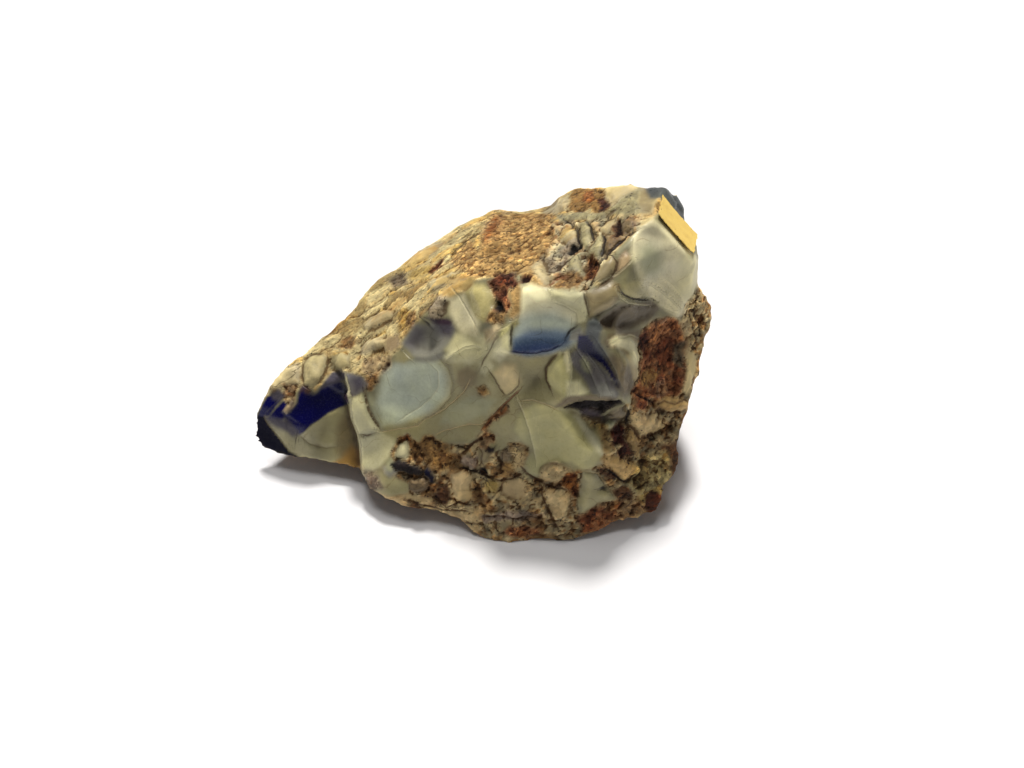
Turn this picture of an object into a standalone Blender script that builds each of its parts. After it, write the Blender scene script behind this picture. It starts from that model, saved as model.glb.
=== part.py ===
"""A broken lump of common opal with a weathered crust, and the paper label stuck on its top corner.

Metres, +Z up.  The stone lies on its flat spot, and the origin is under the middle of its box.

The near side is drawn as a relief from one fixed station in front of the stone.  Each corner is
(across, up, height): where its sight line pierces a sight plane, and how high the corner stands
above the table.  The far side and the underside are plain (x, y, z) corners, measured from the
table point that the middle sight line meets.  Corners are in millimetres.
"""
import math

import bmesh
import bpy
from mathutils import Matrix, Vector
from mathutils.bvhtree import BVHTree
from mathutils.geometry import delaunay_2d_cdt

MM = 0.001

# Driving dimensions, in millimetres and degrees.
STATION_BACK = 96.2         # the station stands this far in front of the table point
STATION_HEIGHT = 105.3      # and this far above the table
SIGHT_TILT = 47.58          # the middle sight line points this far below the horizon
SIGHT_DISTANCE = 156.2      # from the station to the sight plane
LABEL_LENGTH = 8.1
LABEL_WIDTH = 5.0
LABEL_THICKNESS = 0.25
LABEL_GAP = 0.3             # the paper stands this far off the stone
LABEL_MIDDLE = (32.7, 31.55)     # across and up on the sight plane
LABEL_END = (36.35, 27.45)        # the middle of its low end, which gives its direction

CDT_TRIANGLES = 0           # the triangulation fills the whole hull with triangles
CDT_MERGE = 1e-5            # and takes corners this close, in millimetres, as one

# The outline seen from the station, from the left tip over the top and back underneath.
OUTLINE = [
    (-51.6, -10.4, 5), (-50.8, -6.0, 9), (-50.0, -3.0, 11.5), (-48.4, 0.0, 13.5),
    (-45.6, 3.4, 14.5), (-42.2, 5.8, 15), (-38.0, 9.6, 15.5), (-33.6, 13.2, 16.5),
    (-31.6, 15.2, 17), (-30.0, 18.2, 17.5), (-27.0, 21.0, 18.5), (-22.0, 24.0, 19.5),
    (-18.4, 26.8, 20.5), (-15.0, 28.8, 21.5), (-11.2, 31.4, 23), (-7.6, 33.2, 24.5),
    (-3.6, 35.0, 26), (1.8, 34.6, 27), (7.8, 35.8, 29), (8.8, 37.4, 30),
    (12.8, 39.4, 33), (18.6, 39.6, 36), (23.8, 40.2, 39.5), (26.8, 39.2, 40),
    (30.4, 39.6, 41.3), (33.0, 38.2, 39.6), (34.4, 35.6, 38.2), (35.2, 31.8, 37.2),
    (37.0, 28.2, 35.7), (37.4, 23.8, 33), (37.2, 20.0, 30), (39.0, 17.6, 26.5),
    (40.0, 14.0, 24), (39.4, 10.0, 22), (38.0, 6.8, 21), (37.4, 2.2, 18.5),
    (35.8, -2.0, 16.5), (35.4, -5.6, 14.5), (33.8, -9.6, 12.5), (33.4, -12.4, 11),
    (33.8, -14.6, 9.5), (32.8, -18.2, 7.5), (30.6, -20.2, 6.5), (30.4, -23.2, 4.5),
    (29.0, -25.6, 3), (26.2, -26.8, 2.5), (20.6, -27.8, 2), (17.2, -29.8, 1),
    (12.0, -31.4, 0.2), (5.6, -31.8, -0.6), (-0.8, -32.6, -0.6), (-4.4, -31.8, -0.4),
    (-8.0, -29.8, 0.6), (-10.8, -27.2, 1.5), (-16.0, -25.4, 2.5), (-21.6, -24.8, 3),
    (-25.4, -23.2, 3.5), (-29.2, -20.8, 4), (-29.8, -18.6, 5), (-30.2, -17.4, 3.2),
    (-35.0, -16.4, 3), (-40.0, -15.4, 3), (-45.0, -14.6, 3), (-48.8, -13.0, 3.5),
]

# Edges and ridges of the near side.  Lines that meet name their shared corner the same way.
NEAR_RIDGES = {
    "crest": [
        (-33.2, 1.2, 16.5), (-28.8, 2.8, 18.5), (-24.6, 5.6, 21), (-21.2, 9.4, 24.2),
        (-17.6, 14.4, 27.5), (-13.8, 18.6, 30), (-8.4, 21.2, 32.5), (-4.4, 21.0, 33.5),
        (1.2, 20.8, 35)],
    "step": [
        (-33.2, 1.2, 16.5), (-32.4, -2.4, 14.8), (-32.0, -6.2, 12.6), (-30.6, -10.2, 10.2),
        (-30.0, -15.2, 7), (-29.8, -18.6, 5)],
    "step_foot": [
        (-33.6, 1.0, 15.2), (-32.8, -2.4, 12.4), (-32.8, -4.0, 11.3), (-32.4, -6.4, 9.8),
        (-31.0, -10.4, 7), (-30.4, -15.2, 4), (-30.2, -17.4, 3.2)],
    "left_rim": [
        (-50.0, -3.0, 11.5), (-46.2, -0.6, 13.3), (-42.4, -1.2, 13.6), (-38.4, -0.4, 14.2),
        (-35.2, 0.8, 15), (-33.6, 1.0, 15.2)],
    "left_end": [
        (-50.8, -6.0, 9), (-47.4, -10.0, 6.3), (-45.0, -13.8, 3.8), (-45.0, -14.6, 3)],
    "dark_band_foot": [
        (-50.8, -6.0, 9), (-45.6, -8.0, 8.9), (-41.6, -8.8, 8.8), (-36.4, -5.6, 10.6),
        (-32.8, -4.0, 11.3)],
    "crust_middle": [
        (-40.4, 2.6, 15.4), (-36.4, 6.4, 16.6), (-30.0, 9.4, 18.6), (-25.4, 14.8, 21),
        (-22.4, 18.8, 22.5), (-16.4, 23.2, 25), (-10.4, 26.6, 27.6), (-5.6, 28.8, 30),
        (0.0, 27.6, 31.8), (5.6, 30.4, 33), (12.0, 34.0, 35), (17.6, 35.2, 37.5)],
    "shoulder": [
        (1.2, 20.8, 35), (6.6, 20.0, 36), (9.6, 24.4, 36.2), (13.0, 26.6, 36.4),
        (15.6, 22.4, 36.6), (14.2, 18.6, 36.6)],
    "summit": [(21.2, 35.6, 39.8), (25.6, 36.8, 41.2), (28.6, 35.2, 42)],
    "diagonal": [
        (14.2, 18.6, 36.6), (18.4, 25.2, 39), (24.4, 30.8, 41.2), (28.6, 32.4, 41.7),
        (32.4, 28.4, 38.9), (36.4, 25.0, 35.9)],
    "smooth_face": [
        (24.4, 30.8, 41.2), (23.6, 24.4, 39), (26.0, 20.4, 36), (29.6, 16.0, 31.5),
        (33.4, 13.2, 27.5), (35.8, 18.4, 30.5), (36.4, 25.0, 35.9)],
    "blue_face": [
        (6.6, 20.0, 36), (9.6, 16.4, 35), (13.0, 13.2, 33.2), (13.4, 11.6, 32.4),
        (11.2, 9.2, 30.8), (8.2, 7.0, 29.6), (4.0, 6.4, 29.4), (0.0, 6.6, 29.4),
        (1.0, 11.8, 31.8), (2.2, 18.4, 35), (6.6, 20.0, 36)],
    "blue_face_foot": [(-0.2, 5.4, 27.4), (4.2, 5.4, 27.6), (8.8, 5.6, 27.9)],
    "dark_streak": [
        (13.4, 11.6, 32.4), (14.8, 7.2, 30), (18.0, 3.4, 27.2), (21.0, -0.4, 24.8),
        (22.0, -3.6, 22.6)],
    "dark_streak_top": [
        (15.6, 14.4, 34.6), (16.2, 10.8, 32.8), (18.4, 6.8, 30.6), (21.0, 2.4, 27.8),
        (24.0, -4.0, 20.6)],
    "striped_face": [(10.8, 6.4, 28.6), (11.6, 2.0, 26.2), (14.4, -1.6, 24.4)],
    "notch_lip": [
        (8.2, -4.8, 21.4), (11.6, -3.0, 23.2), (16.0, -2.2, 24.6), (20.0, -2.8, 24),
        (22.0, -3.6, 22.6)],
    "notch_foot": [
        (8.2, -4.8, 21.4), (12.4, -5.4, 19.6), (17.0, -7.0, 17.6), (20.4, -5.8, 18.4),
        (22.0, -3.6, 22.6)],
    "upper_strip": [
        (14.2, 18.6, 36.6), (15.6, 14.4, 34.6), (21.0, 17.4, 35.8), (26.0, 20.4, 36)],
    "brow": [
        (15.6, 14.4, 34.6), (21.6, 12.4, 31.8), (27.6, 12.4, 29.6), (33.4, 13.2, 27.5)],
    "rust_edge": [
        (27.6, 12.4, 29.6), (25.6, 6.8, 26), (24.4, 0.4, 22.8), (24.0, -4.0, 20.6)],
    "rust_face": [(30.4, 6.8, 23.2), (34.4, 9.2, 23.8), (34.0, 0.0, 18.4), (29.6, -2.4, 18.6)],
    "middle": [
        (-26.4, -3.6, 15.2), (-16.4, -3.6, 17.2), (-6.4, -3.2, 19.4), (1.6, -3.2, 21),
        (5.2, 1.2, 24)],
    "upper_middle": [
        (-18.4, 5.2, 22.6), (-13.6, 5.2, 24.4), (-9.4, 10.8, 28), (-4.4, 13.2, 31.2),
        (-5.6, 6.4, 26.4)],
    "low": [
        (-22.4, -11.2, 11), (-12.4, -11.2, 12.6), (-2.4, -11.2, 14.4), (3.6, -12.0, 15),
        (12.6, -12.0, 16.2), (19.6, -13.6, 14.6), (25.6, -11.2, 13.2), (30.0, -9.2, 12.6)],
    "foot": [
        (-26.0, -20.4, 5.6), (-16.4, -19.2, 7.2), (-6.4, -19.2, 8.6), (3.6, -19.6, 9.4),
        (13.6, -19.6, 9.8), (22.0, -20.0, 8.2), (27.2, -18.8, 7.6)],
    "hem": [
        (-16.4, -24.0, 3.8), (-8.4, -26.2, 3.6), (0.0, -26.4, 4.4), (9.6, -26.4, 4.8),
        (20.0, -24.8, 4.6), (25.6, -24.4, 4)],
}

# Corners of the far side and the underside, as x, y, z.
FAR_RIDGES = {
    "back_edge": [
        (-36, -8, 8), (-29, 2, 9), (-20, 9, 13), (-10, 17, 14), (1, 19.5, 17), (12, 15, 22),
        (18, 9, 27), (25, 4, 24), (30, -2, 18), (29, -10, 14)],
    "back_hem": [
        (-33, -13, 3.2), (-25, -4, 3.6), (-16, 6, 4), (-4, 13, 5), (8, 12, 4), (18, 9, 7),
        (25, 0, 8), (25, -11, 6), (22.5, -21, 3.5)],
    "back_rib": [(1, 19.5, 17), (4, 17, 10), (8, 12, 4)],
    "back_corner": [(18, 9, 27), (22, 8, 15), (18, 9, 7)],
    "underside": [
        (-17, -23, 2.2), (-15, -10, 2.4), (-8, 2, 2.2), (5, 7, 2.0), (16, 2, 2.4),
        (20, -10, 2.2), (18, -23, 1.6)],
    "flat_spot": [
        (-3, -30, -0.5), (-7, -20, -0.5), (-6, -10, -0.5), (-1, -3, -0.5), (6, -1, -0.5),
        (12, -5, -0.5), (14, -14, -0.5), (12, -24, -0.5), (8, -31, -0.5), (-3, -30, -0.5)],
}

# Flake scars: a ball of the given radius bites this deep into the surface.
# On the near side a scar's middle is across and up on the sight plane.
NEAR_SCARS = {
    "purple": (-16.8, 9.2, 9.0, 0.6),
    "pale_oval": (-20.2, -0.6, 26.0, 0.6),
    "blue": (6.0, 12.4, 26.0, 0.7),
    "lower": (8.6, -10.4, 36.0, 0.8),
    "striped": (16.2, 2.4, 9.0, 0.6),
    "smooth": (31.2, 21.8, 26.0, 0.5),
}
# On the far side it is the x, y, z of a point close to the surface.
FAR_SCARS = {
    "back_left": (-22, 7, 9, 22.0, 1.8),
    "back_middle": (-5, 18, 11, 16.0, 1.5),
    "back_right": (16, 13, 19, 20.0, 2.0),
    "side": (30, -4, 14, 18.0, 1.2),
    "low_back": (13, 11, 8, 14.0, 1.1),
}
SCAR_FINENESS = 4           # subdivisions of the ball


def station():
    """The eye point and the axes of the sight plane: right, up and forward."""
    tilt = math.radians(SIGHT_TILT)
    eye = Vector((0, -STATION_BACK, STATION_HEIGHT))
    right = Vector((1, 0, 0))
    up = Vector((0, math.sin(tilt), math.cos(tilt)))
    forward = Vector((0, math.cos(tilt), -math.sin(tilt)))
    return eye, right, up, forward


EYE, RIGHT, UP, FORWARD = station()


def sight_line(across, up):
    return RIGHT * across + UP * up + FORWARD * SIGHT_DISTANCE


def near_corner(across, up, height):
    """The point of a sight line at a height above the table, in millimetres."""
    line = sight_line(across, up)
    return EYE + line * ((height - EYE.z) / line.z)


def on_sight_plane(corner):
    """Across and up of a corner, as the station sees it."""
    line = Vector(corner) - EYE
    reach = SIGHT_DISTANCE / line.dot(FORWARD)
    return Vector((line.dot(RIGHT) * reach, line.dot(UP) * reach))


def inside(point, loop):
    """True when a line from the point to the right crosses the loop an odd number of times."""
    crossings = 0
    for a, b in zip(loop, loop[1:] + loop[:1]):
        if (a.y > point.y) != (b.y > point.y):
            meets_at = a.x + (b.x - a.x) * (point.y - a.y) / (b.y - a.y)
            crossings += meets_at > point.x
    return crossings % 2 == 1


def triangulate(rim, ridges):
    """Corners and triangles that fill the rim along its ridges, laid out on the sight plane."""
    corners = rim[:]
    edges = [(i, (i + 1) % len(rim)) for i in range(len(rim))]
    for ridge in ridges:
        first = len(corners)
        corners += ridge
        edges += [(i, i + 1) for i in range(first, len(corners) - 1)]
    plane = [on_sight_plane(corner) for corner in corners]
    points, _, triangles, sources, _, _ = delaunay_2d_cdt(
        plane, edges, [], CDT_TRIANGLES, CDT_MERGE, True)
    for point, source in zip(points, sources):
        if not source:
            raise ValueError("two ridges cross near %.1f, %.1f" % tuple(point))
    loop = plane[:len(rim)]
    kept = [t for t in triangles if inside(sum((points[i] for i in t), Vector((0, 0))) / 3, loop)]
    return [corners[source[0]] for source in sources], kept


def stone_body():
    """The near and the far side, joined along the outline, as a closed bmesh in metres."""
    rim = [near_corner(*corner) for corner in OUTLINE]
    near = [[near_corner(*corner) for corner in ridge] for ridge in NEAR_RIDGES.values()]
    far = [[Vector(corner) for corner in ridge] for ridge in FAR_RIDGES.values()]
    bm = bmesh.new()
    for ridges in (near, far):
        corners, triangles = triangulate(rim, ridges)
        verts = [bm.verts.new(corner * MM) for corner in corners]
        for triangle in triangles:
            bm.faces.new([verts[i] for i in triangle])
    bmesh.ops.remove_doubles(bm, verts=bm.verts, dist=0.01 * MM)
    bmesh.ops.recalc_face_normals(bm, faces=bm.faces)
    return bm


def rest_on_table(bm):
    """Cut the underside off flat at the table."""
    everything = bm.verts[:] + bm.edges[:] + bm.faces[:]
    cut = bmesh.ops.bisect_plane(
        bm, geom=everything, plane_co=(0, 0, 0), plane_no=(0, 0, -1), clear_outer=True,
        dist=0.01 * MM)
    rim = [item for item in cut["geom_cut"] if isinstance(item, bmesh.types.BMEdge)]
    bmesh.ops.contextual_create(bm, geom=rim)
    bmesh.ops.recalc_face_normals(bm, faces=bm.faces)


def bite(stone, name, point, normal, radius, depth):
    """Cut a ball out of the stone, so that it reaches a depth below the surface point."""
    bm = bmesh.new()
    bmesh.ops.create_icosphere(bm, subdivisions=SCAR_FINENESS, radius=radius * MM)
    mesh = bpy.data.meshes.new("scar_" + name)
    bm.to_mesh(mesh)
    bm.free()
    ball = bpy.data.objects.new("scar_" + name, mesh)
    ball.location = point + normal * (radius - depth) * MM
    ball.hide_render = True
    ball.display_type = "WIRE"
    bpy.context.scene.collection.objects.link(ball)
    cut = stone.modifiers.new("scar_" + name, "BOOLEAN")
    cut.operation = "DIFFERENCE"
    cut.solver = "EXACT"
    cut.object = ball


def seen_at(surface, across, up):
    """The near surface's point and normal on a sight line."""
    point, normal, _, _ = surface.ray_cast(EYE * MM, sight_line(across, up).normalized())
    return point, normal


def strike_scars(stone, surface):
    for name, (across, up, radius, depth) in NEAR_SCARS.items():
        point, normal = seen_at(surface, across, up)
        bite(stone, name, point, normal, radius, depth)
    for name, (x, y, z, radius, depth) in FAR_SCARS.items():
        point, normal, _, _ = surface.find_nearest(Vector((x, y, z)) * MM)
        bite(stone, name, point, normal, radius, depth)


def make_label(surface):
    """A thin paper slip that floats just off the flat corner facet."""
    middle, normal = seen_at(surface, *LABEL_MIDDLE)
    end, _ = seen_at(surface, *LABEL_END)
    length_way = (end - middle - normal * (end - middle).dot(normal)).normalized()
    axes = Matrix((length_way, normal.cross(length_way), normal)).transposed().to_4x4()
    bm = bmesh.new()
    bmesh.ops.create_cube(bm, size=1)
    sizes = Vector((LABEL_LENGTH, LABEL_WIDTH, LABEL_THICKNESS)) * MM
    bmesh.ops.scale(bm, verts=bm.verts, vec=sizes)
    mesh = bpy.data.meshes.new("label")
    bm.to_mesh(mesh)
    bm.free()
    label = bpy.data.objects.new("label", mesh)
    lift = (LABEL_GAP + LABEL_THICKNESS / 2) * MM
    label.matrix_world = Matrix.Translation(middle + normal * lift) @ axes
    bpy.context.scene.collection.objects.link(label)
    return label


def make_material(name, color, roughness):
    material = bpy.data.materials.new(name)
    material.use_nodes = True
    shader = material.node_tree.nodes["Principled BSDF"]
    shader.inputs["Base Color"].default_value = (*color, 1)
    shader.inputs["Roughness"].default_value = roughness
    shader.inputs["Metallic"].default_value = 0
    return material


def stand_on_origin(stone, others):
    """Put the middle of the stone's own box, at the table, on the origin."""
    xs = [vert.co.x for vert in stone.data.vertices]
    ys = [vert.co.y for vert in stone.data.vertices]
    base = bpy.data.objects.new("base", None)
    bpy.context.scene.collection.objects.link(base)
    base.location = (-(min(xs) + max(xs)) / 2, -(min(ys) + max(ys)) / 2, 0)
    for thing in others:
        thing.parent = base


def main():
    for old in list(bpy.data.objects):
        bpy.data.objects.remove(old)
    bm = stone_body()
    rest_on_table(bm)
    mesh = bpy.data.meshes.new("stone")
    bm.to_mesh(mesh)
    surface = BVHTree.FromBMesh(bm)
    bm.free()
    stone = bpy.data.objects.new("stone", mesh)
    stone.data.materials.append(make_material("opal", (0.50, 0.43, 0.30), 0.45))
    bpy.context.scene.collection.objects.link(stone)
    strike_scars(stone, surface)
    label = make_label(surface)
    label.data.materials.append(make_material("paper", (0.72, 0.55, 0.22), 0.8))
    stand_on_origin(stone, bpy.data.objects[:])


main()
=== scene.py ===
"""Looks of the opal lump: its weathered crust, its glassy fracture faces and its paper label.

The CAD stone is remeshed finely, and its facets are melted except along the real ridges.  Zones and
cracks drawn in the frame paint and raise its near side, and noise and balls its far side; each tint
brings its own grain and chips.  Some cracks paint a step of light and shade across a facet edge, pale
raised cracks paint highlights along ridges, and the notch's dark zones paint shade into the undercut.
The material adds speckle, pits, streaks and hairlines, paints shade into hollows and highlights onto
edges, and paints broad rises brighter and broad hollows darker.
Lengths in the tables and in the numpy arrays are millimetres; Blender's own are metres.
An outline or a line is a path such as "250,400 240,330": pixels across and down the frame, where the
station sees its points.
"""
import math
from collections import namedtuple

import bmesh
import bpy
import numpy as np
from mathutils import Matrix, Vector


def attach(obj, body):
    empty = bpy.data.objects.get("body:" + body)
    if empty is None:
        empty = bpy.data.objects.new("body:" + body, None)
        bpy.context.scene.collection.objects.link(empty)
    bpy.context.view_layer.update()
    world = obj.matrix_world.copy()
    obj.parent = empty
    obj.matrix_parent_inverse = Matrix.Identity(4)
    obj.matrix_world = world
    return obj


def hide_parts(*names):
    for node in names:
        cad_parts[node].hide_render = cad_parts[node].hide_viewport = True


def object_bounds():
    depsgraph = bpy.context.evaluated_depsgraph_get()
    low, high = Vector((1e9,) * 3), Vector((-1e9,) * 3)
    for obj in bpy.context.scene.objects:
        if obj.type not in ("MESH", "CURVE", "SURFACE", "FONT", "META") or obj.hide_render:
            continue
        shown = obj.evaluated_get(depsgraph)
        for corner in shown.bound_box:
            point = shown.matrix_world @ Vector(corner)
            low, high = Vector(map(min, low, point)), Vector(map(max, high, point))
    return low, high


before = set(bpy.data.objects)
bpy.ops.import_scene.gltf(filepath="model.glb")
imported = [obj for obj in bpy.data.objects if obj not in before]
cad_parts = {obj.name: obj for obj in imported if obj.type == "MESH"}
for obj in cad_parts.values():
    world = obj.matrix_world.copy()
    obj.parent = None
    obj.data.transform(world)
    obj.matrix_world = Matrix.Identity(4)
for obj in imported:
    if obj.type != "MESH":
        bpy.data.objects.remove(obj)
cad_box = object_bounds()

MM = 0.001
SEED = 7                    # every seed of the noise counts from this

# ---- The station that the zones are drawn from, which is also the camera -------------------------
FRAME_WIDTH, FRAME_HEIGHT = 1024, 768
FOCAL_PIXELS = 781.2
STATION = np.array([5.796, -89.347, 105.3])
SIGHT_TILT = math.radians(47.58)        # below the horizon
SIGHT_RIGHT = np.array([1.0, 0.0, 0.0])
SIGHT_UP = np.array([0.0, math.sin(SIGHT_TILT), math.cos(SIGHT_TILT)])
SIGHT_FORWARD = np.array([0.0, math.cos(SIGHT_TILT), -math.sin(SIGHT_TILT)])

# ---- Tints ---------------------------------------------------------------------------------------
PAINT_GAIN = 1.20           # of the seen colours, for the light of this stage
STREAKY_TINTS = ("crust_cream", "crust_olive", "ochre_pale", "cream_dim")
# A tint is its colour (as seen, 0-255), the height of its grain and of its chips in millimetres,
# and its roughness.
PALETTE = {
    "navy": ((2, 2, 62), 0.01, 0.05, 0.24),
    "navy_deep": ((2, 2, 52), 0, 0.05, 0.24),
    "near_black": ((2, 2, 24), 0, 0.02, 0.95),
    "black": ((20, 14, 14), 0.06, 0.1, 0.8),
    "blue": ((58, 72, 91), 0, 0.02, 0.25),
    "slate": ((94, 98, 102), 0.01, 0.06, 0.32),
    "slate_pale": ((146, 157, 144), 0, 0.03, 0.28),
    "slate_grey": ((68, 71, 70), 0.01, 0.06, 0.35),
    "stripe_grey": ((99, 95, 92), 0.01, 0.05, 0.35),
    "olive_light": ((148, 141, 106), 0.01, 0.012, 0.36),
    "opal_white": ((214, 207, 168), 0, 0.012, 0.3),
    "roof_rust": ((154, 124, 76), 0.08, 0.09, 0.88),
    "slate_blue": ((104, 118, 130), 0, 0.02, 0.27),
    "opal_olive": ((115, 110, 82), 0.01, 0.012, 0.38),
    "opal_grey": ((151, 149, 117), 0.01, 0.008, 0.36),
    "opal_mist": ((182, 188, 165), 0, 0.008, 0.28),
    "opal_pale": ((182, 176, 138), 0, 0.012, 0.32),
    "opal_green": ((144, 136, 98), 0, 0.012, 0.34),
    "opal_brown": ((124, 111, 79), 0.01, 0.02, 0.42),
    "opal_yellow": ((170, 163, 112), 0, 0.012, 0.35),
    "opal_ochre": ((150, 116, 62), 0.01, 0.02, 0.42),
    "opal_warm": ((176, 159, 116), 0.01, 0.03, 0.42),
    "smooth_pale": ((192, 183, 145), 0, 0.006, 0.3),
    # Partly the opal's own yellow-green and partly a painted glow, light shining through the opal, laid as
    # colour on an opaque material.
    "glow": ((161, 150, 100), 0, 0.008, 0.28),
    "moss": ((128, 120, 88), 0.03, 0.08, 0.55),
    "cream": ((180, 157, 112), 0.02, 0.14, 0.62),
    "cream_pale": ((192, 184, 144), 0.01, 0.03, 0.5),
    "crust_cream": ((174, 158, 112), 0.045, 0.13, 0.76),
    "crust_pale": ((170, 149, 108), 0.03, 0.14, 0.7),
    "crust_tan": ((160, 142, 106), 0.06, 0.2, 0.82),
    "jumble": ((182, 168, 128), 0.03, 0.42, 0.6),
    "rubble": ((162, 143, 104), 0.05, 0.24, 0.78),
    "crust_olive": ((146, 132, 90), 0.08, 0.18, 0.82),
    "cream_dim": ((158, 144, 108), 0.02, 0.14, 0.6),
    "block_cream": ((146, 134, 95), 0.02, 0.14, 0.62),
    "dim_tan": ((109, 93, 65), 0.03, 0.18, 0.6),
    "ochre_pale": ((150, 122, 64), 0.06, 0.14, 0.8),
    "honey": ((156, 128, 80), 0.03, 0.12, 0.6),
    "honey_dark": ((122, 94, 54), 0.06, 0.14, 0.74),
    "honey_pale": ((166, 144, 100), 0.03, 0.12, 0.6),
    "leather": ((138, 110, 75), 0.07, 0.2, 0.8),
    "deep_blue": ((47, 59, 87), 0, 0.02, 0.25),
    "olive_dark": ((99, 87, 63), 0.01, 0.05, 0.4),
    "pink_tan": ((174, 157, 120), 0.02, 0.12, 0.62),
    "pink_brown": ((136, 117, 87), 0.02, 0.06, 0.5),
    "grey_tan": ((136, 122, 98), 0.04, 0.12, 0.62),
    "grey_stone": ((100, 85, 62), 0.04, 0.1, 0.55),
    "ochre": ((146, 110, 62), 0.09, 0.08, 0.85),
    "ochre_olive": ((156, 132, 73), 0.03, 0.08, 0.6),
    "rust": ((114, 72, 36), 0.1, 0.08, 0.9),
    "rust_tan": ((122, 93, 50), 0.06, 0.07, 0.9),
    "rust_dark": ((132, 88, 56), 0.1, 0.09, 0.92),
    "maroon": ((70, 36, 21), 0.11, 0.1, 0.88),
    "umber": ((74, 49, 28), 0.09, 0.08, 0.85),
    "umber_light": ((188, 166, 120), 0.08, 0.26, 0.8),
    "mauve_grey": ((92, 88, 86), 0.01, 0.03, 0.45),
    "mauve_brown": ((124, 108, 92), 0.06, 0.12, 0.65),
    "dusk": ((69, 64, 70), 0.02, 0.06, 0.45),
    "ash": ((118, 116, 106), 0.01, 0.04, 0.38),
    "plum": ((50, 36, 45), 0.02, 0.06, 0.42),
    "dark_stone": ((94, 84, 65), 0.02, 0.08, 0.45),
}

# ---- The rim between the near side and the far side, and the ridges that stay sharp --------------
RIM = (
    "363,477 337,466 312,461 287,457 268,449 254,436 258,414 262,399 270,384 284,367 301,355 322,336 "
    "344,318 354,308 362,293 377,279 402,264 437,240 456,227 494,209 521,211 551,205 556,197 576,187 "
    "605,186 631,183 646,188 664,186 677,193 684,206 688,225 697,243 699,265 698,284 707,296 712,314 "
    "709,334 702,350 699,373 691,394 689,412 681,432 679,446 681,457 676,475 665,485 664,500 657,512 "
    "643,518 615,523 598,533 572,541 540,543 508,547 490,543 472,533 458,520 432,511 404,508 385,500 "
    "366,488 363,477")
RIDGES = {
    "crest": "346,378 368,370 389,356 406,337 424,312 443,291 470,278 490,279 518,280",
    "step": "346,378 350,396 352,415 359,435 362,460 363,477",
    "left_rim": "262,399 281,387 300,390 320,386 336,380 346,378",
    "left_foot": "258,414 275,434 290,452 312,462 345,468 363,474",
    "notch": "553,408 570,399 592,395 612,398 622,402",
    "blue_foot": "570,334 566,341 553,349 532,353 512,352",
    "blue_top": "512,350 522,322 545,317 577,322",
    "smooth_left": "634,230 630,255 642,282 660,304 679,318",
    "smooth_top": "634,230 655,223 694,258",
    "streak": "579,326 586,348 602,367 617,386 622,402",
    "brow": "590,312 620,322 650,322 679,318",
    "rust_edge": "650,322 640,350 634,382 632,404",
}

# ---- The near side, drawn in the frame -----------------------------------------------------------
# A zone is (tint, softness of its edge in pixels, its outline, how far it stands out in millimetres,
# the width of its shoulder in pixels).  Later zones cover earlier ones.
GROUND = {
    "opal_body": ("opal_olive", 3,
        "250,440 262,400 345,372 390,356 424,312 465,276 520,270 600,285 640,180 720,180 720,560 360,560 "
        "300,470"),
    "roof": ("crust_cream", 2,
        "250,400 240,330 420,190 560,170 700,165 662,214 636,232 622,242 604,260 596,276 583,292 560,290 "
        "546,284 541,262 528,268 512,279 490,279 470,279 452,278 438,288 428,304 418,320 406,334 398,350 "
        "388,358 384,370 368,380 352,376 344,372 330,374 316,392 298,388 292,402 283,400 266,398"),
    "skirt": ("rubble", 3,
        "364,476 380,470 396,462 396,440 412,432 450,446 474,442 500,440 524,442 533,462 560,460 596,464 "
        "612,430 632,404 634,345 655,318 682,318 696,285 740,300 720,420 700,540 560,570 440,550 360,500"),
}
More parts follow.
